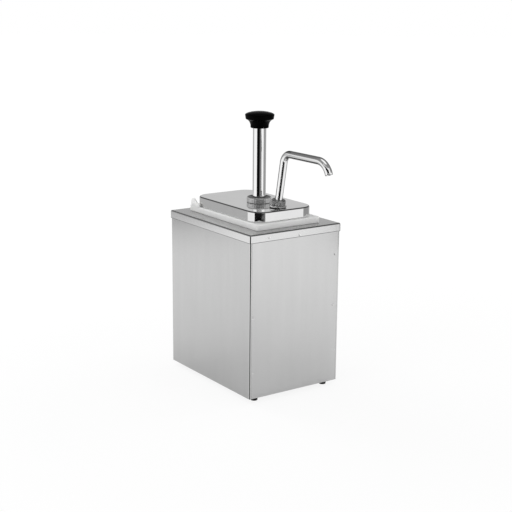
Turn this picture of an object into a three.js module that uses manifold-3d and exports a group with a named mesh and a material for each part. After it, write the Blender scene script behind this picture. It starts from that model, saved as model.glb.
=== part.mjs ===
// A countertop sauce dispenser: a sheet steel housing on rubber feet, a plastic pan that hangs in its
// deck, and a pressed lid that carries a plunger pump with a leaning discharge tube and spout.
// Millimetres, +Z up, +X the way the spout points. Heights are measured from the housing's underside
// and places along X and Y from its middle, until the last lines move the origin.
import * as THREE from "three";
import { mergeVertices } from "three/addons/utils/BufferGeometryUtils.js";
import Module from "manifold-3d";

// Fits, and how finely round things are drawn
const gap = 0.3; // clearance between pieces that sit in or on each other
const overrun = 2; // how far a cut passes the faces that it opens
const roundSides = 48; // of the large round things that show
const innerSides = 24; // of those that are small or inside
const smallSides = 12; // of the smallest holes and pins
const cornerSteps = 4; // in a corner's quarter turn
const edgeSteps = 2; // in a rounded edge's quarter turn

// Housing
const housingDepth = 270;
const housingWidth = 200;
const housingHeight = 300;
const sheet = 1;
const deckBand = 15; // how far the deck's edge turns down over the walls
const deckCorner = 1.5;
const deckEdge = 0.8;
const deckLip = 7; // turned-down lip round the deck's opening
const wrapBend = 2.5;
const frontReturn = 18; // inward flanges of the side walls, behind the front panel
const baseUpstand = 12;

// Feet and their screws
const footRadius = 7;
const footHeight = 9;
const footEdge = 0.8;
const footFlare = 0.7; // how much narrower the foot is where it stands
const footFromEnd = 17;
const footFromSide = 22;
const screwRadius = 2;
const screwGrip = 6;
const screwHeadRadius = 4;
const screwHeadHeight = 2.6;
const screwHeadSides = 6;

// Pan
const panX = -1;
const panDepth = 205;
const panWidth = 125;
const panCorner = 26;
const panWall = 3;
const panDrop = 208; // how far the pan hangs below the deck's top
const panTaperShare = 0.04;
const neckHeight = 12; // upstand inside the lid's skirt
const rimDepth = 226;
const rimWidth = 140;
const rimCorner = 5;
const rimHeight = 11;
const deckClearance = 1;
const earLength = 30;
const earHeight = 14.5;
const earThickness = 3;
const earShares = [
  [0, 0],
  [0.03, 0.66],
  [0.12, 0.9],
  [0.28, 1],
  [0.42, 0.95],
  [0.85, 0.42],
  [1, 0],
];

// Lid
const lidDepth = 210;
const lidWidth = 130;
const lidCorner = 28.5;
const lidHeight = 18.7;
const lidSheet = 1.2;
const lidEdge = 2.5;

// Pump head: collar nut, guide bush and gasket
const pumpX = 17.3;
const collarRadius = 22.7;
const collarHeight = 10.2;
const collarLip = 2.4;
const collarRibs = 36;
const collarRibDepth = 0.9;
const collarShoulder = 2;
const bushWall = 1.4;
const bushLength = 28;
const bushFlange = 2;
const seatFlangeRadius = 21;
const seatFlangeHeight = 4;
const gasketHeight = 2;

// Plunger
const plungerRadius = 12.2;
const plungerWall = 1.2;
const plungerShown = 126.5; // bare tube between the collar nut and the knob
const plungerInKnob = 8;
const cylinderWall = 2;
const pistonHeight = 12;
const pistonSpigot = 12;
const pistonSealHeight = 4.6;
const pistonSealDepth = 2;
const sealGap = 0.15; // between the piston's seal and the bore
const capHeight = 2.2;
const capSpigot = 3.5;
const studRadius = 4;
const studLength = 13;
const studPlug = 14;

// Knob, as radii and heights above its underside
const knobFootRadius = 15.5;
const knobNeckRadius = 16.4;
const knobFootEdge = 2.4;
const knobNeckHeight = 8.4;
const knobFlareRadius = 25.2;
const knobFlareHeight = 17.1;
const knobWidestRadius = 27.3;
const knobWidestHeight = 24.5;
const knobHeight = 31;
const knobShoulder = 2.2;
const knobFlareSteps = 6;
const knobDomeSteps = 5;

// Return spring
const springRadius = 9.3; // to the middle of its wire
const wireRadius = 0.8;
const springTurns = 13;
const springEndGap = 0.7; // between a closed end turn and the next
const turnSteps = 8;
const wireSides = 5;

// Valve body under the cylinder, with the inlet ball in its chamber
const valveDrop = 225; // from the lid's top down to the valve body's foot
const inletRadius = 5.5;
const inletFloor = 9;
const chamberRadius = 12;
const valveWall = 3.5;
const inletBallRadius = 8;
const inletLift = 4;
const retainerHeight = 2;
const retainerHoles = 6;
const retainerHoleRadius = 1.9;
const retainerHolePlace = 5.6;
const springRoom = 15; // from the spring's seat up to the cylinder's foot
const socketDepth = 22;
const ringSize = 1.5; // section of the two sealing rings

// Leaning discharge tube with the spout, and the seals and nut that hold it in the lid
const spoutX = 76.5; // where its axis meets the lid's top
const spoutLean = THREE.MathUtils.degToRad(11);
const spoutRadius = 6.8;
const spoutWall = 1;
const spoutRise = 101.2; // centre line of the arm above the lid
const riserBend = 20;
const riserBendSteps = 10;
const armReach = 116; // from spoutX to where the tip starts to bend
const tipBend = 32;
const tipAngle = THREE.MathUtils.degToRad(65);
const tipBendSteps = 9;
const tipLength = 4;
const sleeveWall = 2.2; // threaded sleeve on the tube
const sealRadius = 14.5;
const sealRise = 3.8;
const washerRadius = 15.7;
const washerHeight = 1.8;
const spoutNutRadius = 13;
const spoutNutHeight = 7.5;
const spoutNutRibs = 20;
const spoutNutRibDepth = 0.8;
const spoutNutShoulder = 1.2;
const sleeveShort = 0.8; // how far the sleeve ends below the nut's top
const lowerFlangeRadius = 13;
const lowerFlangeHeight = 3;
const lowerSealDrop = 4.3;

// Boss of the valve body that the discharge tube plugs into
const bossRadius = 10;
const outletRadius = 5;
const crossPortRadius = 4;
const outletBallRadius = 6.2;
const outletLift = 3;
const outletSeatDrop = 146.7; // down the leaning axis from the lid's top
const tubeGrip = 11;
const notchWidth = 5;
const notchHeight = 3;

// Finishes
const satinSteel = { color: 0xc4c4c2, roughness: 0.4, metalness: 1 };
const polishedSteel = { color: 0xd8d8d8, roughness: 0.08, metalness: 1 };
const nutSteel = { color: 0xa8a8a8, roughness: 0.3, metalness: 1 };
const milkyPlastic = { color: 0xe9e9e6, roughness: 0.45, metalness: 0 };
const whitePlastic = { color: 0xe2e0da, roughness: 0.5, metalness: 0 };
const blackPlastic = { color: 0x0a0a0a, roughness: 0.15, metalness: 0 };
const blackRubber = { color: 0x151515, roughness: 0.8, metalness: 0 };
const sealRubber = { color: 0x2a2a2a, roughness: 0.7, metalness: 0 };

// Heights and radii that follow from the sizes above
const skinDepth = housingDepth - 2 * (sheet + gap);
const skinWidth = housingWidth - 2 * (sheet + gap);
const skinHeight = housingHeight - sheet - gap;
const wrapDepth = skinDepth - sheet - gap;
const wrapX = -(sheet + gap) / 2;
const baseDepth = wrapDepth - 2 * (sheet + gap);
const baseWidth = skinWidth - 2 * (sheet + gap);

const panBottom = housingHeight - panDrop;
const rimTop = housingHeight + rimHeight;
const neckTop = rimTop + neckHeight;
const lidBottom = rimTop + gap;
const lidTop = lidBottom + lidHeight;
const lidUnderside = lidTop - lidSheet;

const bushBore = plungerRadius + gap;
const bushRadius = bushBore + bushWall;
const cylinderBore = bushRadius + gap;
const cylinderRadius = cylinderBore + cylinderWall;
const collarBottom = lidTop + gap;
const collarTop = collarBottom + collarHeight;
const collarCeiling = collarTop - collarLip;
const bushFlangeBottom = collarCeiling - gap - bushFlange;
const bushBottom = bushFlangeBottom - bushLength;
const cylinderTop = bushFlangeBottom - gap;
const gasketBottom = lidUnderside - gap - gasketHeight;
const seatFlangeTop = gasketBottom - gap;

const pistonTop = bushBottom - gap;
const pistonBottom = pistonTop - pistonHeight;
const pistonSealBottom = pistonBottom + (pistonHeight - pistonSealHeight) / 2;
const tubeBottom = pistonTop + gap;
const tubeInside = plungerRadius - plungerWall;
const knobBottom = collarTop + plungerShown;
const tubeTop = knobBottom + plungerInKnob;
const capTop = pistonBottom - gap;
const springTop = capTop - capHeight - gap;

const valveBottom = lidTop - valveDrop;
const inletSeat = valveBottom + inletFloor;
const inletBallRest = inletSeat + Math.sqrt(inletBallRadius ** 2 - inletRadius ** 2) + gap;
const retainerBottom = inletBallRest + inletBallRadius + inletLift + gap;
const springBottom = retainerBottom + retainerHeight + gap;
const cylinderBottom = springBottom + springRoom;
const socketRadius = cylinderRadius + gap;
const socketTop = cylinderBottom + socketDepth;
const valveRadius = socketRadius + valveWall;
const crossPortHeight = inletBallRest + crossPortRadius;

const boreRadius = spoutRadius - spoutWall;
const sleeveRadius = spoutRadius + sleeveWall;
const washerBottom = sealRise + gap;
const spoutNutBottom = washerBottom + washerHeight + gap;
const spoutNutTop = spoutNutBottom + spoutNutHeight;
const lowerFlangeTop = -lowerSealDrop - gap;
const outletBallRest = -outletSeatDrop + Math.sqrt(outletBallRadius ** 2 - outletRadius ** 2) + gap;
const tubeStart = outletBallRest + outletBallRadius + outletLift + gap;
const bossTop = tubeStart + tubeGrip;
const tubeSocketRadius = spoutRadius + gap;
const bossRing = (tubeStart + bossTop) / 2;
const bodyRingHeight = (cylinderBottom + socketTop) / 2;
const outletAxisX = spoutX - (lidTop - crossPortHeight) * Math.tan(spoutLean);

// The leaning axis: local Z runs up it from the lid's top, local X points down the front
const leanFrame = new THREE.Matrix4().makeRotationY(spoutLean).setPosition(spoutX, 0, lidTop);

const wasm = await Module();
wasm.setup();

// A closed geometry as a solid that can be joined and cut
function solid(geometry) {
  const bare = geometry.clone();
  bare.deleteAttribute("normal");
  bare.deleteAttribute("uv");
  const merged = mergeVertices(bare, 1e-3);
  const triVerts = new Uint32Array(merged.index.array);
  const vertProperties = merged.attributes.position.array;
  return new wasm.Manifold(new wasm.Mesh({ numProp: 3, vertProperties, triVerts }));
}

function geometryOf(shape) {
  const { vertProperties, triVerts } = shape.getMesh();
  const geometry = new THREE.BufferGeometry();
  geometry.setAttribute("position", new THREE.BufferAttribute(vertProperties, 3));
  geometry.setIndex(new THREE.BufferAttribute(triVerts, 1));
  geometry.computeVertexNormals();
  return geometry;
}

function piece(name, shape, finish) {
  const mesh = new THREE.Mesh(geometryOf(shape), new THREE.MeshStandardMaterial(finish));
  mesh.name = name;
  return mesh;
}

function assembly(...pieces) {
  return new THREE.Group().add(...pieces);
}

function join(...shapes) {
  return shapes.reduce((all, shape) => all.add(shape));
}

function cut(body, ...tools) {
  return tools.reduce((left, tool) => left.subtract(tool), body);
}

function moved(shape, x, y) {
  return shape.translate([x, y, 0]);
}

// A solid of revolution about the vertical, from radius and height pairs that run up its outside
function turned(profile, sides = roundSides) {
  const points = profile.map(([radius, height]) => new THREE.Vector2(radius, height));
  return new THREE.LatheGeometry(points, sides).rotateX(Math.PI / 2);
}

function disc(radius, bottom, top, sides = innerSides) {
  const profile = [
    [0, bottom],
    [radius, bottom],
    [radius, top],
    [0, top],
  ];
  return turned(profile, sides);
}

function ring(inner, outer, bottom, top, sides = innerSides) {
  const profile = [
    [inner, bottom],
    [outer, bottom],
    [outer, top],
    [inner, top],
    [inner, bottom],
  ];
  return turned(profile, sides);
}

function roundedOutline(depth, width, corner) {
  const x = depth / 2 - corner;
  const y = width / 2 - corner;
  const quarter = Math.PI / 2;
  const outline = new THREE.Shape();
  outline.absarc(x, y, corner, 0, quarter);
  outline.absarc(-x, y, corner, quarter, 2 * quarter);
  outline.absarc(-x, -y, corner, 2 * quarter, 3 * quarter);
  outline.absarc(x, -y, corner, 3 * quarter, 4 * quarter);
  outline.closePath();
  return outline;
}

// A block with rounded upright corners
function block(depth, width, corner, bottom, top) {
  const settings = { depth: top - bottom, bevelEnabled: false, curveSegments: cornerSteps };
  const geometry = new THREE.ExtrudeGeometry(roundedOutline(depth, width, corner), settings);
  return solid(geometry.translate(0, 0, bottom));
}

// The same block with a rounded edge round its top
function domedBlock(depth, width, corner, bottom, top, edge) {
  const settings = {
    depth: top - bottom,
    bevelEnabled: true,
    bevelThickness: edge,
    bevelSize: edge,
    bevelOffset: -edge,
    bevelSegments: edgeSteps,
    curveSegments: cornerSteps,
  };
  const geometry = new THREE.ExtrudeGeometry(roundedOutline(depth, width, corner), settings);
  const whole = solid(geometry.translate(0, 0, bottom - edge));
  return whole.subtract(slab(depth + edge, width + edge, bottom - 3 * edge, bottom));
}

// The same block narrowing evenly below its top
function taperedBlock(depth, width, corner, bottom, top, whereFull, share) {
  const settings = { depth: top - bottom, bevelEnabled: false, curveSegments: cornerSteps };
  const geometry = new THREE.ExtrudeGeometry(roundedOutline(depth, width, corner), settings);
  geometry.translate(0, 0, bottom);
  const place = geometry.attributes.position;
  for (let i = 0; i < place.count; i++) {
    const scale = 1 - (share * (whereFull - place.getZ(i))) / (whereFull - panBottom);
    place.setXY(i, place.getX(i) * scale, place.getY(i) * scale);
  }
  return solid(geometry);
}

// A plain block between two heights
function slab(depth, width, bottom, top) {
  const geometry = new THREE.BoxGeometry(depth, width, top - bottom);
  return solid(geometry.translate(0, 0, (bottom + top) / 2));
}

function leaned(geometry) {
  return solid(geometry.applyMatrix4(leanFrame));
}

// A disc or ring with upright ribs all round its side
function ribbedDisc(radius, depth, ribs, bottom, top) {
  const outline = new THREE.Shape();
  const ribShares = [
    [0.08, 1],
    [0.42, 1],
    [0.6, 0],
    [0.9, 0],
  ];
  for (let i = 0; i < ribs; i++) {
    for (const [turnShare, riseShare] of ribShares) {
      const angle = ((i + turnShare) * 2 * Math.PI) / ribs;
      const reach = radius - depth * (1 - riseShare);
      const point = [reach * Math.cos(angle), reach * Math.sin(angle)];
      if (i === 0 && turnShare === ribShares[0][0]) outline.moveTo(...point);
      else outline.lineTo(...point);
    }
  }
  outline.closePath();
  const settings = { depth: top - bottom, bevelEnabled: false };
  return new THREE.ExtrudeGeometry(outline, settings).translate(0, 0, bottom);
}

// The outside of a nut: ribs below a rounded shoulder
function nutBlank(radius, ribDepth, ribs, bottom, top, shoulder, placed) {
  const crown = [
    [0, bottom - overrun],
    [radius, bottom - overrun],
  ];
  for (let i = 0; i <= edgeSteps; i++) {
    const angle = (i / edgeSteps) * (Math.PI / 2);
    crown.push([radius - shoulder * (1 - Math.cos(angle)), top - shoulder * (1 - Math.sin(angle))]);
  }
  crown.push([0, top]);
  const blank = placed(ribbedDisc(radius, ribDepth, ribs, bottom, top));
  return blank.intersect(placed(turned(crown)));
}

// Housing wrap: back and side walls of one bent sheet, with flanges behind the front panel
function housingWrap() {
  const outside = block(wrapDepth, skinWidth, wrapBend, 0, skinHeight);
  const insideDepth = wrapDepth - 2 * sheet;
  const insideWidth = skinWidth - 2 * sheet;
  const inside = block(insideDepth, insideWidth, wrapBend - sheet, -overrun, skinHeight + overrun);
  const windowWidth = skinWidth - 2 * frontReturn;
  const frontWindow = slab(wrapDepth, windowWidth, -overrun, skinHeight + overrun);
  return moved(cut(outside, inside, moved(frontWindow, wrapDepth / 2, 0)), wrapX, 0);
}

function frontPanel() {
  const panel = slab(sheet, skinWidth, 0, skinHeight);
  return moved(panel, (skinDepth - sheet) / 2, 0);
}

function footPlaces() {
  const x = housingDepth / 2 - footFromEnd;
  const y = housingWidth / 2 - footFromSide;
  return [
    ["front_left", x, y],
    ["front_right", x, -y],
    ["back_left", -x, y],
    ["back_right", -x, -y],
  ];
}

// Base plate: a shallow tray between the walls
function basePlate() {
  const outside = block(baseDepth, baseWidth, wrapBend, 0, baseUpstand);
  const insideDepth = baseDepth - 2 * sheet;
  const insideWidth = baseWidth - 2 * sheet;
  const inside = block(insideDepth, insideWidth, wrapBend - sheet, sheet, baseUpstand + overrun);
  const tray = moved(cut(outside, inside), wrapX, 0);
  const hole = solid(disc(screwRadius + gap, -overrun, sheet + overrun, smallSides));
  return cut(tray, ...footPlaces().map(([, x, y]) => moved(hole, x, y)));
}

function foot() {
  const standRadius = footRadius - footFlare;
  const profile = [
    [0, -footHeight],
    [standRadius - footEdge, -footHeight],
    [standRadius, footEdge - footHeight],
    [footRadius, -footEdge - gap],
    [footRadius - footEdge, -gap],
    [0, -gap],
  ];
  const hole = disc(screwRadius + gap, -screwGrip - gap, overrun, smallSides);
  return cut(solid(turned(profile, innerSides)), solid(hole));
}

function footScrew() {
  const headBottom = sheet + gap;
  const head = disc(screwHeadRadius, headBottom, headBottom + screwHeadHeight, screwHeadSides);
  const shank = disc(screwRadius, -screwGrip, headBottom + screwHeadHeight / 2, smallSides);
  return join(solid(head), solid(shank));
}

// Deck: the top sheet, with its edge turned down outside the walls and a lip round the pan's opening
function topDeck() {
  const bandBottom = housingHeight - deckBand;
  const plateBottom = housingHeight - sheet;
  const outside = domedBlock(housingDepth, housingWidth, deckCorner, bandBottom, housingHeight, deckEdge);
  const insideDepth = housingDepth - 2 * sheet;
  const insideWidth = housingWidth - 2 * sheet;
  const inside = block(insideDepth, insideWidth, deckCorner - sheet, bandBottom - overrun, plateBottom);
  const openDepth = panDepth + 2 * deckClearance;
  const openWidth = panWidth + 2 * deckClearance;
  const openCorner = panCorner + deckClearance;
  const lipBottom = housingHeight - deckLip;
  const lipDepth = openDepth + 2 * sheet;
  const lipWidth = openWidth + 2 * sheet;
  const lip = block(lipDepth, lipWidth, openCorner + sheet, lipBottom, plateBottom + sheet / 2);
  const opening = block(openDepth, openWidth, openCorner, lipBottom - overrun, housingHeight + overrun);
  const deck = join(cut(outside, inside), moved(lip, panX, 0));
  return cut(deck, moved(opening, panX, 0));
}

// One lug on the pan's rim, a plate in the plane of its side
function panEar() {
  const outline = new THREE.Shape();
  outline.moveTo(0, -panWall / 2);
  for (const [lengthShare, heightShare] of earShares) {
    outline.lineTo(lengthShare * earLength, heightShare * earHeight);
  }
  outline.lineTo(earLength, -panWall / 2);
  outline.closePath();
  const plate = new THREE.ExtrudeGeometry(outline, { depth: earThickness, bevelEnabled: false });
  plate.rotateX(Math.PI / 2);
  return solid(plate.translate(rimCorner - rimDepth / 2, earThickness / 2, rimTop));
}

// Pan: a tapered container with a ledge and skirt that sit on the deck, a neck inside the lid and
// two lugs at the back
function foodPan() {
  const share = panTaperShare;
  const outside = taperedBlock(panDepth, panWidth, panCorner, panBottom, neckTop, neckTop, share);
  const hollowDepth = panDepth - 2 * panWall;
  const hollowWidth = panWidth - 2 * panWall;
  const hollowCorner = panCorner - panWall;
  const floor = panBottom + panWall;
  const above = neckTop + overrun;
  const hollow = taperedBlock(hollowDepth, hollowWidth, hollowCorner, floor, above, neckTop, share);
  const rim = block(rimDepth, rimWidth, rimCorner, housingHeight + gap, rimTop);
  const pocketDepth = rimDepth - 2 * panWall;
  const pocketWidth = rimWidth - 2 * panWall;
  const pocketCorner = rimCorner - panWall;
  const pocket = block(pocketDepth, pocketWidth, pocketCorner, housingHeight - overrun, rimTop - panWall);
  const earY = (rimWidth - earThickness) / 2;
  const ears = [moved(panEar(), 0, earY), moved(panEar(), 0, -earY)];
  return moved(cut(join(cut(rim, pocket), outside, ...ears), hollow), panX, 0);
}

// Lid: a deep pressed sheet with holes for the pump and the leaning sleeve
function pumpLid() {
  const outside = domedBlock(lidDepth, lidWidth, lidCorner, lidBottom, lidTop, lidEdge);
  const insideDepth = lidDepth - 2 * lidSheet;
  const insideWidth = lidWidth - 2 * lidSheet;
  const insideCorner = lidCorner - lidSheet;
  const insideEdge = lidEdge - lidSheet;
  const inside = join(
    domedBlock(insideDepth, insideWidth, insideCorner, lidBottom, lidUnderside, insideEdge),
    block(insideDepth, insideWidth, insideCorner, lidBottom - overrun, lidBottom + overrun),
  );
  const shell = moved(cut(outside, inside), panX, 0);
  const pumpHole = solid(disc(cylinderRadius + gap, lidUnderside - overrun, lidTop + overrun));
  const sleeveHole = leaned(disc(sleeveRadius + gap, -lidHeight / 2, lidHeight / 2));
  return cut(shell, moved(pumpHole, pumpX, 0), sleeveHole);
}

// Collar nut: a ribbed cap that screws on the cylinder's neck and holds the guide bush down
function collarNut() {
  const blank = nutBlank(
    collarRadius,
    collarRibDepth,
    collarRibs,
    collarBottom,
    collarTop,
    collarShoulder,
    solid,
  );
  const bore = solid(disc(cylinderRadius + gap, collarBottom - overrun, collarCeiling));
  const mouth = solid(disc(bushBore, collarCeiling - overrun, collarTop + overrun));
  return moved(cut(blank, bore, mouth), pumpX, 0);
}

function collarGasket() {
  const gasket = ring(cylinderRadius + gap, seatFlangeRadius, gasketBottom, gasketBottom + gasketHeight);
  return moved(solid(gasket), pumpX, 0);
}

function guideBush() {
  const sleeve = ring(bushBore, bushRadius, bushBottom, bushFlangeBottom + bushFlange);
  const flange = ring(bushBore, cylinderRadius, bushFlangeBottom, bushFlangeBottom + bushFlange);
  return moved(join(solid(sleeve), solid(flange)), pumpX, 0);
}

function pumpCylinder() {
  const barrel = ring(cylinderBore, cylinderRadius, cylinderBottom, cylinderTop);
  const flange = ring(cylinderBore, seatFlangeRadius, seatFlangeTop - seatFlangeHeight, seatFlangeTop);
  return moved(join(solid(barrel), solid(flange)), pumpX, 0);
}

function plungerTube() {
  return moved(solid(ring(tubeInside, plungerRadius, tubeBottom, tubeTop, roundSides)), pumpX, 0);
}

// Knob: a chamfered foot, a waist that flares out to an undercut rim, and a low dome
function knob() {
  const up = (height) => knobBottom + height;
  const profile = [
    [0, up(0)],
    [knobFootRadius, up(0)],
    [knobNeckRadius, up(knobFootEdge)],
    [knobNeckRadius, up(knobNeckHeight)],
  ];
  const flareRun = knobFlareRadius - knobNeckRadius;
  const flareRise = knobFlareHeight - knobNeckHeight;
  for (let i = 1; i <= knobFlareSteps; i++) {
    const angle = (i / knobFlareSteps) * (Math.PI / 2);
    const radius = knobNeckRadius + flareRun * (1 - Math.cos(angle));
    profile.push([radius, up(knobNeckHeight + flareRise * Math.sin(angle))]);
  }
  profile.push([knobWidestRadius, up(knobWidestHeight)]);
  const shoulderRadius = knobWidestRadius - knobShoulder / 2;
  const shoulderHeight = knobWidestHeight + knobShoulder;
  const domeRise = knobHeight - shoulderHeight;
  for (let i = 0; i <= knobDomeSteps; i++) {
    const share = i / knobDomeSteps;
    profile.push([shoulderRadius * (1 - share), up(shoulderHeight + domeRise * share * (2 - share))]);
  }
  const blank = solid(turned(profile));
  const socket = solid(disc(plungerRadius + gap, knobBottom - overrun, tubeTop + gap));
  const studHole = solid(disc(studRadius + gap, tubeTop, tubeTop + studLength + gap));
  return moved(cut(blank, socket, studHole), pumpX, 0);
}

// Stud: a plug in the tube's top, with a threaded end up into the knob
function knobStud() {
  const plug = disc(tubeInside - gap, tubeTop - studPlug, tubeTop);
  const stud = disc(studRadius, tubeTop - studPlug / 2, tubeTop + studLength);
  return moved(join(solid(plug), solid(stud)), pumpX, 0);
}

function piston() {
  const body = disc(cylinderBore - gap, pistonBottom, pistonTop);
  const spigot = disc(tubeInside - gap, pistonTop - pistonHeight / 2, pistonTop + pistonSpigot);
  const sealTop = pistonSealBottom + pistonSealHeight;
  const grooveFloor = cylinderBore - gap - pistonSealDepth;
  const groove = ring(grooveFloor, cylinderBore + overrun, pistonSealBottom, sealTop);
  return moved(cut(join(solid(body), solid(spigot)), solid(groove)), pumpX, 0);
}

function pistonSeal() {
  const inner = cylinderBore - pistonSealDepth;
  const outer = cylinderBore - sealGap;
  const bottom = pistonSealBottom + gap;
  const top = pistonSealBottom + pistonSealHeight - gap;
  return moved(solid(ring(inner, outer, bottom, top)), pumpX, 0);
}

// Spring cap: the disc between the piston and the spring, free to turn on the spring
function springCap() {
  const plate = disc(cylinderBore - 2 * gap, capTop - capHeight, capTop);
  const spigotRadius = springRadius * Math.cos(Math.PI / turnSteps) - wireRadius - gap;
  const spigot = disc(spigotRadius, capTop - capHeight - capSpigot, capTop - capHeight / 2);
  return moved(join(solid(plate), solid(spigot)), pumpX, 0);
}

// Centre line of the return spring: even turns between one closed turn at each end
class SpringLine extends THREE.Curve {
  getPoint(t, target = new THREE.Vector3()) {
    const bottom = springBottom + wireRadius;
    const height = springTop - springBottom - 2 * wireRadius;
    const endPitch = 2 * wireRadius + springEndGap;
    const turn = t * springTurns;
    const openPitch = (height - 2 * endPitch) / (springTurns - 2);
    const rise =
      endPitch * Math.min(turn, 1) +
      openPitch * THREE.MathUtils.clamp(turn - 1, 0, springTurns - 2) +
      endPitch * Math.max(turn - springTurns + 1, 0);
    const angle = 2 * Math.PI * turn;
    return target.set(springRadius * Math.cos(angle), springRadius * Math.sin(angle), bottom + rise);
  }
}

function polygon(radius, sides) {
  const points = [];
  for (let i = 0; i < sides; i++) {
    const angle = (i * 2 * Math.PI) / sides;
    points.push(new THREE.Vector2(radius * Math.cos(angle), radius * Math.sin(angle)));
  }
  return new THREE.Shape(points);
}

// The least clear space between turns of the spring, measured on points of its centre line
function leastSpringGap() {
  const steps = springTurns * turnSteps;
  const points = new SpringLine().getPoints(steps);
  let least = Infinity;
  points.forEach((a, i) => {
    for (let j = i + turnSteps / 2; j < points.length; j++) {
      least = Math.min(least, a.distanceTo(points[j]) - 2 * wireRadius);
    }
  });
  return least;
}

function returnSpring() {
  const settings = {
    steps: springTurns * turnSteps,
    bevelEnabled: false,
    extrudePath: new SpringLine(),
  };
  const coil = new THREE.ExtrudeGeometry(polygon(wireRadius, wireSides), settings);
  return moved(solid(coil), pumpX, 0);
}

// Valve body: inlet, ball chamber, socket for the cylinder, and a leaning boss for the discharge tube
function valveBody() {
  const lower = disc(chamberRadius + valveWall, valveBottom, cylinderBottom);
  const upper = disc(valveRadius, cylinderBottom - valveWall, socketTop);
  const inlet = disc(inletRadius, valveBottom - overrun, inletSeat + overrun);
  const chamber = disc(chamberRadius, inletSeat, cylinderBottom + overrun);
  const socket = disc(socketRadius, cylinderBottom - gap, socketTop + overrun);
  const grooveReach = ringSize / 2 + gap;
  const groove = disc(socketRadius + ringSize, bodyRingHeight - grooveReach, bodyRingHeight + grooveReach);
  const port = disc(crossPortRadius, 0, outletAxisX - pumpX, smallSides);
  port.rotateY(Math.PI / 2).translate(0, 0, crossPortHeight);
  const outletStart = (crossPortHeight - lidTop) / Math.cos(spoutLean);
  const boss = disc(bossRadius, outletStart - bossRadius, bossTop);
  const outlet = disc(outletRadius, outletStart - crossPortRadius, overrun - outletSeatDrop);
  const tubeSocket = disc(tubeSocketRadius, -outletSeatDrop, bossTop + overrun);
  const tubeGroove = disc(tubeSocketRadius + ringSize, bossRing - grooveReach, bossRing + grooveReach);
  const blank = join(solid(lower), solid(upper)).translate([pumpX, 0, 0]).add(leaned(boss));
  const uprightCuts = [inlet, chamber, socket, groove, port].map((tool) => moved(solid(tool), pumpX, 0));
  const leanedCuts = [outlet, tubeSocket, tubeGroove].map(leaned);
  return cut(blank, ...uprightCuts, ...leanedCuts);
}

function bodyRing() {
  const bottom = bodyRingHeight - ringSize / 2;
  const shape = ring(cylinderRadius + sealGap, socketRadius + ringSize - gap, bottom, bottom + ringSize);
  return moved(solid(shape), pumpX, 0);
}

function tubeRing() {
  const bottom = bossRing - ringSize / 2;
  return leaned(ring(spoutRadius + sealGap, tubeSocketRadius + ringSize - gap, bottom, bottom + ringSize));
}

// Ball retainer: a drilled disc over the ball that is also the spring's seat
function ballRetainer() {
  const plate = solid(disc(chamberRadius - gap, retainerBottom, retainerBottom + retainerHeight));
  const hole = solid(disc(retainerHoleRadius, retainerBottom - overrun, springBottom + overrun, smallSides));
  const holes = [];
  for (let i = 0; i < retainerHoles; i++) {
    const angle = (i * 2 * Math.PI) / retainerHoles;
    holes.push(moved(hole, retainerHolePlace * Math.cos(angle), retainerHolePlace * Math.sin(angle)));
  }
  return moved(cut(plate, hole, ...holes), pumpX, 0);
}

function ball(radius) {
  return new THREE.SphereGeometry(radius, innerSides, smallSides).rotateX(Math.PI / 2);
}

function inletBall() {
  return solid(ball(inletBallRadius).translate(pumpX, 0, inletBallRest));
}

function outletBall() {
  return leaned(ball(outletBallRadius).translate(0, 0, outletBallRest));
}

// Stations along the discharge tube's centre line, in the plane y = 0: leaning riser, bend, level arm,
// bend and tip. They lie only where the tube starts, ends or bends. A station's angle is how far its
// heading points below level.
function spoutStations(past) {
  const stations = [];
  const put = (x, z, angle) => {
    const heading = new THREE.Vector3(Math.cos(angle), 0, -Math.sin(angle));
    stations.push({ place: new THREE.Vector3(x, 0, z), heading });
  };
  const bend = (x, z, radius, from, to, steps) => {
    for (let i = 0; i <= steps; i++) {
      const angle = from + ((to - from) * i) / steps;
      put(x + radius * Math.sin(angle), z + radius * Math.cos(angle), angle);
    }
  };
  const riserAngle = spoutLean - Math.PI / 2;
  const footLength = tubeStart - past;
  put(spoutX + footLength * Math.sin(spoutLean), lidTop + footLength * Math.cos(spoutLean), riserAngle);
  const armZ = lidTop + spoutRise;
  const cornerX = spoutX + spoutRise * Math.tan(spoutLean);
  const bendX = cornerX + riserBend * Math.tan(-riserAngle / 2);
  bend(bendX, armZ - riserBend, riserBend, riserAngle, 0, riserBendSteps);
  bend(spoutX + armReach, armZ - tipBend, tipBend, 0, tipAngle, tipBendSteps);
  const last = stations.at(-1).place;
  const reach = tipLength + past;
  put(last.x + reach * Math.cos(tipAngle), last.z - reach * Math.sin(tipAngle), tipAngle);
  return stations;
}

class StationLine extends THREE.Curve {
  constructor(stations) {
    super();
    this.stations = stations;
  }

  station(share) {
    return this.stations[Math.round(share * (this.stations.length - 1))];
  }

  getPointAt(share, target = new THREE.Vector3()) {
    return target.copy(this.station(share).place);
  }

  getTangentAt(share, target = new THREE.Vector3()) {
    return target.copy(this.station(share).heading);
  }
}

function spoutRun(radius, past) {
  const stations = spoutStations(past);
  const settings = {
    steps: stations.length - 1,
    bevelEnabled: false,
    extrudePath: new StationLine(stations),
  };
  return solid(new THREE.ExtrudeGeometry(polygon(radius, innerSides), settings));
}

// Spout: the discharge tube with its threaded sleeve, a flange under the lid and a notched foot
function spoutTube() {
  const sleeve = leaned(disc(sleeveRadius, lowerFlangeTop - lowerFlangeHeight, spoutNutTop - sleeveShort));
  const flange = leaned(disc(lowerFlangeRadius, lowerFlangeTop - lowerFlangeHeight, lowerFlangeTop));
  const notch = new THREE.BoxGeometry(notchWidth, 2 * sleeveRadius, notchHeight + overrun);
  notch.translate(0, 0, tubeStart + (notchHeight - overrun) / 2);
  const whole = join(spoutRun(spoutRadius, 0), sleeve, flange);
  return cut(whole, spoutRun(boreRadius, overrun), leaned(notch));
}

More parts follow.
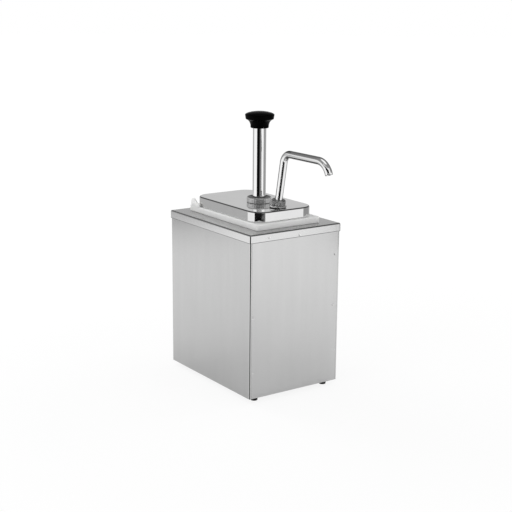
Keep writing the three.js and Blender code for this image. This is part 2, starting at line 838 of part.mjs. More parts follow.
// Wedge seals: flat against the lid on one side and square to the leaning tube on the other
function wedgeSeal(outer, bottom, top, keptBottom, keptTop) {
  const across = 2 * (outer + overrun);
  const under = slab(across, across, keptBottom - lidHeight, keptBottom);
  const over = slab(across, across, keptTop, keptTop + lidHeight);
  const blank = leaned(ring(sleeveRadius + gap, outer, bottom, top));
  return cut(blank, moved(under, spoutX, 0), moved(over, spoutX, 0));
}

function upperSeal() {
  return wedgeSeal(sealRadius, -sealRise, sealRise, lidTop + gap, lidTop + lidHeight);
}

function lowerSeal() {
  return wedgeSeal(lowerFlangeRadius, -lowerSealDrop, 0, lidBottom, lidUnderside - gap);
}

function spoutWasher() {
  return leaned(ring(sleeveRadius + gap, washerRadius, washerBottom, washerBottom + washerHeight));
}

function spoutNut() {
  const blank = nutBlank(
    spoutNutRadius,
    spoutNutRibDepth,
    spoutNutRibs,
    spoutNutBottom,
    spoutNutTop,
    spoutNutShoulder,
    leaned,
  );
  const bore = disc(sleeveRadius + gap, spoutNutBottom - overrun, spoutNutTop + overrun);
  return cut(blank, leaned(bore));
}

function housing() {
  const feet = footPlaces().flatMap(([name, x, y]) => [
    piece("foot_" + name, moved(foot(), x, y), blackRubber),
    piece("foot_screw_" + name, moved(footScrew(), x, y), nutSteel),
  ]);
  return assembly(
    piece("housing_wrap", housingWrap(), satinSteel),
    piece("front_panel", frontPanel(), satinSteel),
    piece("base_plate", basePlate(), satinSteel),
    piece("top_deck", topDeck(), satinSteel),
    ...feet,
  );
}

function lidAndPump() {
  return assembly(
    piece("pump_lid", pumpLid(), polishedSteel),
    piece("collar_nut", collarNut(), nutSteel),
    piece("collar_gasket", collarGasket(), sealRubber),
    piece("guide_bush", guideBush(), whitePlastic),
    piece("pump_cylinder", pumpCylinder(), polishedSteel),
    piece("valve_body", valveBody(), whitePlastic),
    piece("body_ring", bodyRing(), sealRubber),
    piece("ball_retainer", ballRetainer(), whitePlastic),
    piece("inlet_ball", inletBall(), polishedSteel),
    piece("outlet_ball", outletBall(), polishedSteel),
    piece("return_spring", returnSpring(), polishedSteel),
    plunger(),
    spout(),
  );
}

function plunger() {
  return assembly(
    piece("plunger_tube", plungerTube(), polishedSteel),
    piece("knob", knob(), blackPlastic),
    piece("knob_stud", knobStud(), nutSteel),
    piece("piston", piston(), whitePlastic),
    piece("piston_seal", pistonSeal(), sealRubber),
    piece("spring_cap", springCap(), whitePlastic),
  );
}

function spout() {
  return assembly(
    piece("spout_tube", spoutTube(), polishedSteel),
    piece("tube_ring", tubeRing(), sealRubber),
    piece("spout_upper_seal", upperSeal(), blackRubber),
    piece("spout_lower_seal", lowerSeal(), blackRubber),
    piece("spout_washer", spoutWasher(), polishedSteel),
    piece("spout_nut", spoutNut(), nutSteel),
  );
}

console.log("spring turns clear each other by " + leastSpringGap().toFixed(2) + " mm");

// The origin moves to the middle of the whole part's box, on the plane that the feet stand on
const pan = piece("food_pan", foodPan(), milkyPlastic);
const whole = assembly(housing(), pan, lidAndPump());
const bounds = new THREE.Box3().setFromObject(whole);
const middle = bounds.getCenter(new THREE.Vector3());
whole.position.set(-middle.x, -middle.y, -bounds.min.z);

export default new THREE.Group().add(whole);
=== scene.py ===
import math

import bmesh
import bpy
from mathutils import Matrix, Vector


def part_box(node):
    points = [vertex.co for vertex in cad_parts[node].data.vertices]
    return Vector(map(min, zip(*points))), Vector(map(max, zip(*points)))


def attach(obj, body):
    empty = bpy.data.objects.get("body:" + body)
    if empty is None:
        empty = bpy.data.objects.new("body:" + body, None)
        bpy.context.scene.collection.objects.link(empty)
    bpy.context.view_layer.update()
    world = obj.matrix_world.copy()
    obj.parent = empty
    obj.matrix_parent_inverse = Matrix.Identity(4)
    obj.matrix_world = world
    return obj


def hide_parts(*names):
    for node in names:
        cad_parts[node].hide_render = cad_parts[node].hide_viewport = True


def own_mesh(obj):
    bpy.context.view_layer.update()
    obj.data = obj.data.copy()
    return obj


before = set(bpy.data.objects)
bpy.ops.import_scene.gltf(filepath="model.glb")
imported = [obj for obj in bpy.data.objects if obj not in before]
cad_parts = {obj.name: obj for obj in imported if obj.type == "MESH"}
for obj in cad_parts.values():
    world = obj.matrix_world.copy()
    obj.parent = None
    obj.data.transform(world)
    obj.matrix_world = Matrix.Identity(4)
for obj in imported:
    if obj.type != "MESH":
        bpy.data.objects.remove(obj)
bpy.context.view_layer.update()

# Sizes in millimetres, as in the part's source, apart from the few that follow the photo more closely.
# Housing: sheets, bends and the step behind the front sheet
GAP = 0.3
SHEET = 1.0
SKIN_Y = 98.7
SKIN_TOP = 298.7
WRAP_BACK = -133.7
WRAP_BEND = 2.8
RETURN_FRONT = 132.4
RETURN_END = 80.7
RETURN_STEP = 94.6
PANEL_FRONT = 133.7
PANEL_Y = 95.2
PANEL_EDGE = 0.25
# Deck with its band, its lip and the pan's opening
DECK_X = 135.0
DECK_Y = 100.0
DECK_TOP = 300.0
DECK_BAND = 15.0
DECK_BEND = 2.8
DECK_LIP = 7.0
# how far up from the band's bottom edge its painted shadow line reaches
BAND_SHADE_RISE = 0.9
OPEN_X = 103.5
OPEN_Y = 63.5
OPEN_R = 27.0
# Pan: rim, neck and walls
PAN_MID = -1.0
RIM_X = 113.0
RIM_Y = 70.0
RIM_R = 5.0
RIM_TOP = 311.0
NECK_X = 102.5
NECK_Y = 62.5
NECK_R = 26.0
NECK_TOP = 323.0
PAN_WALL = 3.0
PAN_BOTTOM = 92.0
PAN_TAPER = 0.04
# Lid, with its holes for the pump and the sleeve
LID_X = 105.0
LID_Y = 65.0
LID_R = 28.5
LID_BOTTOM = 311.3
LID_TOP = 330.0
LID_SHEET = 1.2
LID_BEND = 2.6
PUMP_HOLE_R = 16.5
SLEEVE_HOLE_R = 9.3
# Pump: plunger tube, knob, barrel, collar nut and spring
PUMP_X = 17.3
TUBE_R = 12.2
TUBE_WALL = 1.2
TUBE_BOTTOM = 307.8
KNOB_BOTTOM = 467.0
TUBE_TOP = 475.0
BARREL_BORE = 14.2
BARREL_R = 16.2
BARREL_BOTTOM = 149.7
BARREL_TOP = 335.5
BARREL_FLANGE_R = 21.0
BARREL_FLANGE = (322.2, 326.2)
COLLAR_R = 22.7
COLLAR_BOTTOM = 330.3
COLLAR_TOP = 340.5
COLLAR_HOLE_R = 12.5
COLLAR_RIBS = 36
SPRING_R = 9.3
WIRE_R = 0.8
SPRING_TURNS = 13
SPRING_END_GAP = 0.7
SPRING_BOTTOM = 134.71
SPRING_TOP = 292.7
# Discharge tube and spout, measured along the leaning axis from the lid's top, and their nut and washer
SPOUT_X = 76.5
LEAN = math.radians(11)
SPOUT_R = 6.8
SPOUT_BORE = 5.8
SLEEVE_R = 9.0
FLANGE_R = 13.0
ARM_RISE = 99.7
RISER_BEND = 20.0
ARM_REACH = 116.0
TIP_BEND = 32.0
TIP_ANGLE = math.radians(65)
TIP_LENGTH = 2.4
TUBE_START = -131.0
NUT_R = 13.0
NUT_BOTTOM = 6.2
NUT_TOP = 13.7
NUT_RIBS = 20
WASHER_R = 15.7
WASHER_BOTTOM = 4.1
WASHER_TOP = 5.9
SKIRT_INNER_R = 14.8
SKIRT_DROP = 0.9
SKIRT_GAP = 1.8
# Feet, with the blind hole for the screw
FOOT_R = 7.0
FOOT_STAND_R = 6.3
FOOT_HEIGHT = 9.0
FOOT_X = 118.0
FOOT_Y = 78.0
FOOT_HOLE_R = 2.3
FOOT_HOLE_BOTTOM = -6.6

deck_low, deck_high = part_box("top_deck")
MM = 0.001
TO_ROW = Matrix.Translation(((deck_low.x + deck_high.x) / 2, 0, deck_high.z - DECK_TOP * MM)) @ Matrix.Scale(MM, 4)
LEANED = Matrix.Translation((SPOUT_X, 0, LID_TOP)) @ Matrix.Rotation(LEAN, 4, "Y")
ON_PUMP = Matrix.Translation((PUMP_X, 0, 0))
STILL = Matrix.Identity(4)


# ---- camera: the photograph's place and lens ----
CAMERA_AT = Vector((1.6517, -1.1763, 0.7337))
CAMERA_YAW = math.radians(145.161)
CAMERA_PITCH = math.radians(-13.629)
CAMERA_ROLL = math.radians(0.447)
CAMERA_LENS = 79.57
SENSOR_WIDTH = 36
CLIP = (0.01, 50)


def added(name, data):
    """A new object with that data, in the scene."""
    made = bpy.data.objects.new(name, data)
    bpy.context.scene.collection.objects.link(made)
    return made


def mesh_object(name, body):
    """A new object from a bmesh, which is used up."""
    data = bpy.data.meshes.new(name)
    body.to_mesh(data)
    body.free()
    return added(name, data)


def make_camera():
    flat = math.cos(CAMERA_PITCH)
    ahead = Vector((flat * math.cos(CAMERA_YAW), flat * math.sin(CAMERA_YAW), math.sin(CAMERA_PITCH)))
    right = ahead.cross(Vector((0, 0, 1))).normalized()
    up = right.cross(ahead)
    turned = Matrix.Rotation(-CAMERA_ROLL, 4, ahead)
    right, up = turned @ right, turned @ up
    data = bpy.data.cameras.new("camera")
    data.lens = CAMERA_LENS
    data.sensor_width = SENSOR_WIDTH
    data.clip_start, data.clip_end = CLIP
    camera = added("camera", data)
    camera.matrix_world = Matrix.Translation(CAMERA_AT) @ Matrix((right, up, -ahead)).transposed().to_4x4()
    bpy.context.scene.camera = camera


make_camera()


# ---- mesh building ----
NEARLY_STRAIGHT = math.radians(89.5)  # half the angle of a corner that needs no rounding
SMOOTH_ANGLE = 32  # faces that meet at less than this many degrees are shaded as one
LEAST_R = 0.05
SAME_PLACE = 1e-4
NO_LENGTH = 1e-5


def fillet(points, loop=False, steps=6, support=0.25):
    """Points (u, v, radius) as (u, v) pairs, with each corner of a radius above 0 rounded.

    With support, a point stands on the straight at that share of the rounding's length beyond each end of it,
    so that the shading of the bend doesn't run out over the flat."""
    made = []
    count = len(points)
    for i, (u, v, radius) in enumerate(points):
        here = Vector((u, v))
        if radius <= 0 or (not loop and i in (0, count - 1)):
            made.append(here)
            continue
        before = Vector(points[i - 1][:2]) - here
        after = Vector(points[(i + 1) % count][:2]) - here
        into, out = before.normalized(), after.normalized()
        half = into.angle(out) / 2
        if half > NEARLY_STRAIGHT:
            made.append(here)
            continue
        run = radius / math.tan(half)
        middle = here + (into + out).normalized() * radius / math.sin(half)
        start = here + into * run - middle
        sweep = (here + out * run - middle).angle(start)
        side = 1 if start.x * (here - middle).y - start.y * (here - middle).x > 0 else -1
        if support and before.length > run * (1 + support):
            made.append(here + into * run * (1 + support))
        for k in range(steps + 1):
            angle = side * sweep * k / steps
            made.append(middle + Matrix.Rotation(angle, 2) @ start)
        if support and after.length > run * (1 + support):
            made.append(here + out * run * (1 + support))
    return [(p.x, p.y) for p in made]


def outline(half_x, half_y, radius, x=0.0, y=0.0, steps=12, support=0.8, front_cuts=()):
    """A rounded rectangle seen from above, counter-clockwise from its front right corner.

    Each bend has a point of support beyond both ends, and front_cuts are shares of the front side to cut it at."""
    points = []
    radius = max(radius, LEAST_R)
    for sx, sy, first in ((1, -1, -90), (1, 1, 0), (-1, 1, 90), (-1, -1, 180)):
        cx, cy = x + sx * (half_x - radius), y + sy * (half_y - radius)
        arc = [math.radians(first + 90 * k / steps) for k in range(steps + 1)]
        bend = [Vector((cx + radius * math.cos(a), cy + radius * math.sin(a))) for a in arc]
        into, out = (Vector((-math.sin(a), math.cos(a))) * support for a in (arc[0], arc[-1]))
        points += [bend[0] - into, *bend, bend[-1] + out]
        if first == -90 and front_cuts:
            low, high = y - half_y + radius + support, y + half_y - radius - support
            points += [Vector((x + half_x, low + (high - low) * t)) for t in front_cuts]
    return [(p.x, p.y) for p in points]


def at_height(points, z):
    return [(px, py, z) for px, py in points]


def quarter(steps):
    """A quarter turn as pairs: the way still to go, 1 - sine, and the way made, 1 - cosine."""
    angles = [math.pi / 2 * k / steps for k in range(steps + 1)]
    return [(1 - math.sin(angle), 1 - math.cos(angle)) for angle in angles]


def soften(body, angle=SMOOTH_ANGLE):
    """Smooth faces, with sharp edges where faces meet at more than the angle."""
    for face in body.faces:
        face.smooth = True
    for edge in body.edges:
        edge.smooth = len(edge.link_faces) == 2 and edge.calc_face_angle(0) < math.radians(angle)


def new_object(name, body, angle=SMOOTH_ANGLE):
    bmesh.ops.remove_doubles(body, verts=body.verts, dist=SAME_PLACE)
    bmesh.ops.dissolve_degenerate(body, edges=body.edges, dist=NO_LENGTH)
    bmesh.ops.recalc_face_normals(body, faces=body.faces)
    soften(body, angle)
    return mesh_object(name, body)


def join_rows(body, rows, loop):
    """Faces between rows of points round the body. A row may be a single point."""
    for a, b in zip(rows, rows[1:] + rows[:1] if loop else rows[1:]):
        count = max(len(a), len(b))
        if count == 1:
            continue
        for i in range(count):
            j = (i + 1) % count
            if len(a) == 1:
                body.faces.new((a[0], b[j], b[i]))
            elif len(b) == 1:
                body.faces.new((a[i], a[j], b[0]))
            else:
                body.faces.new((a[i], a[j], b[j], b[i]))


def skin(rings, loop=False):
    """A closed body through rings of as many points, closed at its ends or joined round."""
    body = bmesh.new()
    rows = [[body.verts.new(p) for p in ring] for ring in rings]
    join_rows(body, rows, loop)
    if not loop:
        body.faces.new(rows[0])
        body.faces.new(list(reversed(rows[-1])))
    return body


def lathe(profile, sides=96, loop=False, shape=None):
    """A body of revolution about the vertical. A first or last point on the axis closes to one point."""
    body = bmesh.new()
    rows = []
    for radius, height in profile:
        if radius == 0:
            rows.append([body.verts.new((0, 0, height))])
            continue
        row = []
        for i in range(sides):
            angle = 2 * math.pi * i / sides
            reach = shape(radius, height, angle) if shape else radius
            row.append(body.verts.new((reach * math.cos(angle), reach * math.sin(angle), height)))
        rows.append(row)
    join_rows(body, rows, loop)
    return body


def circle(middle, radius, out, side, count):
    """Points round a middle, from the direction out towards the direction side."""
    turns = [2 * math.pi * k / count for k in range(count)]
    return [middle + radius * (math.cos(turn) * out + math.sin(turn) * side) for turn in turns]


def cut(target, tools):
    """Takes the tools' shapes away from the target, and the tools out of the scene."""
    for tool in tools:
        change = target.modifiers.new("change", "BOOLEAN")
        change.operation = "DIFFERENCE"
        change.solver = "EXACT"
        change.object = tool
    bpy.context.view_layer.update()
    graph = bpy.context.evaluated_depsgraph_get()
    result = bpy.data.meshes.new_from_object(target.evaluated_get(graph))
    target.modifiers.clear()
    old = target.data
    target.data = result
    bpy.data.meshes.remove(old)
    for tool in tools:
        bpy.data.objects.remove(tool)
    body = bmesh.new()
    body.from_mesh(result)
    soften(body)
    body.to_mesh(result)
    body.free()


def dress(piece, finish):
    piece.data.materials.clear()
    piece.data.materials.append(finish)


def put(piece, body, finish, replaced=(), placed=STILL):
    """Places a piece drawn in millimetres, gives it its finish, hangs it on its body and hides the CAD nodes it
    stands in for.
    """
    piece.data.transform(TO_ROW @ placed)
    dress(piece, finish)
    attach(piece, body)
    if replaced:
        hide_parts(*replaced)


# ---- finishes ----
# Painted light along the bends of sheet steel, as lines: grey level, and where it starts and is full, 0 at the
# bend's flat end and
# 0.5 on its crest. The first table follows upright bends, with a painted highlight on the flanks and a painted dark
# reflection on the crest; TOP_LINE and DECK_LINE follow bends round a top, with a painted dark reflection.
PAINTED_BEND_LINES = ((0.9, 0.1, 0.18), (0.09, 0.28, 0.42))
TOP_LINE = ((0.16, 0.12, 0.3),)
DECK_LINE = ((0.28, 0.14, 0.32),)
# grey level of the painted shadow line along the band's bottom edge, for the shade of the gap under the band
BAND_EDGE_SHADE = 0.1
# Painted shade: faces of cast steel that look this far upward are darkened, for the shade in the nuts' dished tops.
PAINTED_HOLLOW_SHADE = (0.13, 0.78, 0.92)  # on faces that look that far upward
# Grain of rolled sheet and of polishing, in marks for each metre across and along it, and their relief in metres
GRAIN, GRAIN_ALONG, GRAIN_RELIEF = 1100, 9, 0.0000016
BAND, BAND_ALONG = 60, 5
MARKS, MARKS_ALONG, MARKS_RELIEF = 2600, 40, 0.0000012
CLOUDS = (9.0, 4.0, 0.55)  # scale, detail and roughness of the noise
SHEET_GLOSS = 0.16
WAVINESS = 0.0004
# The colour sockets of a Mix node
MIX_FIRST, MIX_SECOND, MIX_RESULT = 6, 7, 2


def grey(level):
    return (level, level, level)


def feed(socket, value):
    """Gives a socket a number, a colour, or what another socket puts out."""
    if isinstance(value, bpy.types.NodeSocket):
        socket.id_data.links.new(value, socket)
    else:
        socket.default_value = (*value, 1) if socket.type == "RGBA" else value


def fill(node, **values):
    """Feeds sockets of a node. Their names are written with _ for a space."""
    for name, value in values.items():
        feed(node.inputs[name.replace("_", " ")], value)


class Finish:
    """A node material on one Principled shader."""

    def __init__(self, name, color, metallic=0.0, roughness=0.5, specular=None):
        self.material = bpy.data.materials.new(name)
        self.material.use_nodes = True
        self.nodes = self.material.node_tree.nodes
        self.shader = self.nodes["Principled BSDF"]
        fill(self.shader, Base_Color=color, Metallic=metallic, Roughness=roughness)
        if specular is not None:
            fill(self.shader, Specular_IOR_Level=specular)
        coordinates = self.add("ShaderNodeTexCoord")
        self.place = coordinates.outputs["Object"]
        self.normal = coordinates.outputs["Normal"]
        self.bumped = None
        self.last_lines = []

    def add(self, kind, **settings):
        node = self.nodes.new(kind)
        for key, value in settings.items():
            setattr(node, key, value)
        return node

    def parts(self, vector):
        """The three numbers of a place or a direction."""
        node = self.add("ShaderNodeSeparateXYZ")
        fill(node, Vector=vector)
        return node.outputs

    def stretched(self, scale, axis=None, along=None):
        """The object's place times a scale, which is another one along an axis."""
        mapping = self.add("ShaderNodeMapping")
        fill(mapping, Scale=[along if k == axis else scale for k in range(3)], Vector=self.place)
        return mapping.outputs["Vector"]

    def noise(self, vector, scale=1.0, detail=3.0, roughness=0.5):
        node = self.add("ShaderNodeTexNoise")
        fill(node, Vector=vector, Scale=scale, Detail=detail, Roughness=roughness)
        return node.outputs["Fac"]

    def ranged(self, value, low, high, from_low=0.3, from_high=0.7):
        """A value between from_low and from_high brought to between low and high, and held there."""
        node = self.add("ShaderNodeMapRange")
        fill(node, Value=value, From_Min=from_low, From_Max=from_high, To_Min=low, To_Max=high)
        return node.outputs["Result"]

    def mixed(self, factor, first, second):
        node = self.add("ShaderNodeMix", data_type="RGBA")
        fill(node, Factor=factor)
        feed(node.inputs[MIX_FIRST], first)
        feed(node.inputs[MIX_SECOND], second)
        return node.outputs[MIX_RESULT]

    def combined(self, first, second, operation="ADD"):
        node = self.add("ShaderNodeMath", operation=operation)
        feed(node.inputs[0], first)
        feed(node.inputs[1], second)
        return node.outputs[0]

    def lined(self, shade, across, lines):
        """The shade (a colour) with painted lines of light and shade (level, start, full), other grey levels, laid
        over it by a value across them.
        """
        for level, start, full in lines:
            shade = self.mixed(self.ranged(across, 0, 1, start, full), shade, grey(level))
        return shade

    def color(self, factor, first, second, upright=(), top=()):
        """A blend of two colours, with painted light lines along upright bends and round the top, and then the last
        painted lines of light and shade.
        """
        shade = self.mixed(factor, first, second)
        if upright:
            x, y, _ = self.parts(self.normal)
            across = self.combined(x, y, "MULTIPLY")
            shade = self.lined(shade, self.combined(across, 0, "ABSOLUTE"), upright)
        if top:
            rise = self.parts(self.normal)[2]
            level = self.combined(self.combined(1, self.combined(rise, 2, "POWER"), "SUBTRACT"), 0.5, "POWER")
            shade = self.lined(shade, self.combined(rise, level, "MULTIPLY"), top)
        for across, lines in self.last_lines:
            shade = self.lined(shade, across, lines)
        fill(self.shader, Base_Color=shade)

    def roughness(self, value):
        fill(self.shader, Roughness=value)

    def bump(self, height, distance, strength=1.0):
        """Distance is the height of the relief in metres."""
        node = self.add("ShaderNodeBump")
        fill(node, Strength=strength, Distance=distance, Height=height)
        if self.bumped:
            fill(node, Normal=self.bumped)
        self.bumped = node.outputs["Normal"]
        fill(self.shader, Normal=self.bumped)


def satin_steel(name, light, dark, lines=PAINTED_BEND_LINES):
    """Sheet steel with a fine upright grain, faint clouds and a slight waviness."""
    made = Finish(name, grey(light), metallic=1.0, roughness=SHEET_GLOSS)
    grain = made.noise(made.stretched(GRAIN, 2, GRAIN_ALONG), 1.0, 4.0, 0.6)
    bands = made.noise(made.stretched(BAND, 2, BAND_ALONG), 1.0, 3.0, 0.5)
    clouds = made.noise(made.place, *CLOUDS)
    look = made.combined(made.combined(grain, bands), clouds)
    # Painted highlight and painted dark reflection along the upright bends come in with the lines.
    made.color(made.ranged(look, 0, 1, 1.0, 2.0), grey(dark), grey(light), lines)
    uneven = made.combined(grain, clouds)
    made.roughness(made.ranged(uneven, SHEET_GLOSS - 0.05, SHEET_GLOSS + 0.07, 0.7, 1.3))
    made.bump(grain, GRAIN_RELIEF)
    made.bump(made.noise(made.place, 7.0, 1.0), WAVINESS, 0.3)
    return made.material


def deck_steel(name, band, top):
    """Sheet steel, darker on its upward face, with its grain along the deck and a painted shadow line along the
    band's bottom edge.
    """
    made = Finish(name, grey(band), metallic=1.0, roughness=0.2)
    height = made.parts(made.place)[2]
    level = (TO_ROW @ Vector((0, 0, DECK_TOP))).z
    # The upward face takes a darker grey than the band, from just below the deck's top.
    upper_face = made.ranged(height, 0, 1, level - 0.8 * MM, level - 0.1 * MM)
    # Painted shadow: a dark line from the band's bottom edge up to this height.
    edge = level - (DECK_BAND - BAND_SHADE_RISE) * MM
    made.last_lines.append((height, [(BAND_EDGE_SHADE, edge + 0.1 * MM, edge - 0.1 * MM)]))
    grain = made.noise(made.stretched(GRAIN, 0, GRAIN_ALONG), 1.0, 4.0, 0.6)
    uneven = made.combined(grain, made.noise(made.place, *CLOUDS))
    upper_face_tone = made.combined(upper_face, made.ranged(uneven, -0.06, 0.06, 0.7, 1.3))
    # Painted bend lines: highlight and dark reflection on the upright bends, dark reflection round the top bend.
    made.color(upper_face_tone, grey(band), grey(top), PAINTED_BEND_LINES, DECK_LINE)
    made.roughness(made.ranged(uneven, 0.13, 0.21, 0.7, 1.3))
    made.bump(grain, GRAIN_RELIEF)
    return made.material


def polished_steel(name, level, rough, grain_axis=None, waviness=0.0, rim=None):
    """Polished steel with faint polishing marks and uneven gloss.

    A rim is a painted shade line (level, start, full) that it takes on where it turns away from the eye, in place of
    the darker reflections there."""
    made = Finish(name, grey(level), metallic=1.0, roughness=rough)
    smear = made.noise(made.place, 28.0, 4.0, 0.6)
    marks = made.noise(made.stretched(MARKS, grain_axis, MARKS_ALONG), 1.0, 2.0)
    if rim:
        # painted shade where the surface turns away from the eye
        made.last_lines.append((made.add("ShaderNodeLayerWeight").outputs["Facing"], [rim]))
    # A wavy finish also takes the painted dark reflection line round its top bends.
    made.color(made.ranged(smear, 0, 1), grey(level - 0.05), grey(level), (), TOP_LINE if waviness else ())
    made.roughness(made.ranged(made.combined(smear, marks), rough * 0.6, rough * 1.5, 0.7, 1.3))
    made.bump(marks, MARKS_RELIEF)
    if waviness:
        made.bump(made.noise(made.place, 22.0, 1.0), waviness, 0.3)
    return made.material


def cast_steel(name, level, rough):
    """Tumbled cast steel: dull, a little uneven, darker in its pores, with painted shade on its upward faces for the
    shade in its hollow top.
    """
    made = Finish(name, grey(level), metallic=0.88, roughness=rough)
    # painted shade on the faces that look upward
    made.last_lines.append((made.parts(made.normal)[2], [PAINTED_HOLLOW_SHADE]))
    pores = made.noise(made.place, 900.0, 5.0, 0.7)
    patches = made.noise(made.place, 120.0, 3.0, 0.6)
    look = made.combined(pores, patches)
    made.color(made.ranged(look, 0, 1, 0.75, 1.25), grey(level * 0.82), grey(level))
    made.roughness(made.ranged(look, rough + 0.06, rough - 0.06, 0.75, 1.25))
    made.bump(pores, 0.000012, 0.5)
    return made.material


def moulded(name, light, dark, rough, scatter):
    """Moulded translucent plastic with a faint cloudiness and a fine skin texture."""
    made = Finish(name, light, roughness=rough)
    clouds = made.noise(made.place, 35.0, 3.0)
    texture = made.noise(made.place, 1500.0, 2.0)
    made.color(made.ranged(clouds, 0, 1), dark, light)
    made.roughness(made.ranged(clouds, rough - 0.06, rough + 0.06))
    made.bump(texture, 0.00002, 0.5)
    fill(made.shader, Subsurface_Weight=scatter, Subsurface_Radius=(1.0, 1.0, 0.95), Subsurface_Scale=0.006)
    return made.material


def rubber(name, level, rough):
    """Dull rubber, with a little dust."""
    made = Finish(name, grey(level), roughness=rough, specular=0.35)
    dust = made.noise(made.place, 260.0, 4.0, 0.65)
    made.color(made.ranged(dust, 0, 1, 0.45, 0.8), grey(level), grey(level * 2.2))
    made.roughness(made.ranged(dust, rough - 0.08, rough + 0.08))
    made.bump(dust, 0.00004, 0.5)
    return made.material


def gloss_black(name):
    """Glossy black moulding with the slight orange peel of a moulded skin."""
    made = Finish(name, grey(0.001), roughness=0.2, specular=0.02)
    peel = made.noise(made.place, 160.0, 2.0)
    smear = made.noise(made.place, 60.0, 4.0)
    made.color(made.ranged(smear, 0, 1), grey(0.0004), grey(0.0012))
    made.roughness(made.ranged(smear, 0.14, 0.28))
    made.bump(peel, 0.00003, 0.35)
    return made.material


def turned_plastic(name, light, dark):
    """Machined white plastic with fine turning rings."""
    made = Finish(name, light, roughness=0.42)
    wave = made.add("ShaderNodeTexWave", wave_type="BANDS", bands_direction="Z")
    fill(wave, Vector=made.place, Scale=380, Distortion=0.4)
    clouds = made.noise(made.place, 45.0, 3.0)
    made.color(made.ranged(clouds, 0, 1), dark, light)
    made.roughness(made.ranged(clouds, 0.36, 0.5))
    made.bump(wave.outputs["Fac"], 0.00002, 0.5)
    return made.material


# The front sheet is a lighter copy of the wall steel, painted light for the brighter light its face catches; it
# takes only the painted dark reflection on its bends, not the painted highlight.
WALLS = satin_steel("wall_steel", 0.59, 0.55)
FRONT = satin_steel("front_steel", 0.67, 0.62, PAINTED_BEND_LINES[1:])
DECK = deck_steel("deck_steel", 0.74, 0.45)
LID = polished_steel("lid_steel", 0.8, 0.05, waviness=0.00002)
CHROME = polished_steel("chrome", 0.92, 0.035, grain_axis=2)
# The spout takes a painted shade line along its edges, where they turn away from the eye.
SPOUT_CHROME = polished_steel("spout_chrome", 0.92, 0.05, rim=(0.2, 0.3, 0.68))
PLATE = polished_steel("plate_steel", 0.7, 0.16)
NUTS = cast_steel("nut_steel", 0.64, 0.38)
LOCK_NUT = cast_steel("lock_nut_steel", 0.44, 0.3)
MILKY = moulded("milky_plastic", (0.9, 0.9, 0.89), (0.85, 0.85, 0.84), 0.34, 0.35)
WHITE = turned_plastic("white_plastic", (0.8, 0.79, 0.76), (0.74, 0.73, 0.7))
BLACK = gloss_black("black_plastic")
RUBBER = rubber("black_rubber", 0.014, 0.62)
PAD = rubber("pad_rubber", 0.045, 0.5)
SEAL = rubber("seal_rubber", 0.03, 0.6)


# ---- housing ----
# Spot welds on the front and on the band, (y, z)
DENTS = ((89, 244), (86, 148), (92, 61), (-92, 151), (-92, 49))
BAND_DENTS = ((-59, 292), (7, 289))
DENT_R = 1.7
DENT_DEPTH = 0.66
LEAST_STEP = 0.3  # between two grid lines
FLANGE_EDGE = 0.9  # from the step behind the front sheet to the wall's bend
PAST_BEND = 0.4  # where a flat has its first points beyond a bend
CLOSE = 0.01


def dent(places, y, z):
    """How far the sheet is pressed in at a place on the front."""
    depth = 0.0
    for py, pz in places:
        share = math.hypot(y - py, z - pz) / DENT_R
        depth += DENT_DEPTH * math.exp(-share * share)
    return depth


def lines_near(places, low, high, spacing=0.9, reach=5.4, coarse=12.0):
    """Grid lines between two ends, close together near the places."""
    lines = {low, high}
    count = int(reach / spacing)
    for place in places:
        lines |= {place + k * spacing for k in range(-count, count + 1)}
    steps = int((high - low) / coarse)
    lines |= {low + (high - low) * k / steps for k in range(1, steps)}
    kept = []
    for value in sorted(v for v in lines if low <= v <= high):
        if not kept or value - kept[-1] > LEAST_STEP:
            kept.append(value)
    return kept


def make_wrap():
    """The side and back walls. Their front bends lie flush with the front sheet, which they step behind."""
    x0, x1, y1 = WRAP_BACK, PANEL_FRONT, SKIN_Y
    flange = RETURN_STEP + FLANGE_EDGE
    beside = WRAP_BEND + PAST_BEND
    outer = [(RETURN_FRONT, -RETURN_END, 0), (RETURN_FRONT, -RETURN_STEP, 0), (x1 - 0.1, -flange + 0.2, 0)]
    outer += [(x1, -flange, 0), (x1, -y1, WRAP_BEND), (x1 - beside, -y1, 0)]
    outer += [(x0 + beside, -y1, 0), (x0, -y1, WRAP_BEND), (x0, beside - y1, 0)]
    back = RETURN_FRONT - SHEET
    bend = WRAP_BEND - SHEET
    inner = [(back, -RETURN_END, 0), (back, -RETURN_STEP - SHEET * 0.6, 0), (x1 - SHEET - 0.1, -flange - 0.2, 0)]
    inner += [(x1 - SHEET, -flange - 0.3, 0), (x1 - SHEET, SHEET - y1, bend), (x1 - beside, SHEET - y1, 0)]
    inner += [(x0 + beside, SHEET - y1, 0), (x0 + SHEET, SHEET - y1, bend), (x0 + SHEET, beside - y1, 0)]
    lines = []
    for half in (outer, inner):
        other = [(x, -y, radius) for x, y, radius in reversed(half)]
        lines.append(fillet(half + other, steps=10, support=0))
    rings = [
        [(ox, oy, 0), (ox, oy, SKIN_TOP), (ix, iy, SKIN_TOP), (ix, iy, 0)] for (ox, oy), (ix, iy) in zip(*lines)
    ]
    wrap = new_object("wall_wrap", skin(rings))
    put(wrap, "housing", WALLS, ["housing_wrap"])


def pressed(shape, places, z, front):
    """The shape at a height, with the points from front on pressed in at the places."""
    return [(x - dent(places, y, z) if x > front else x, y, z) for x, y in shape]


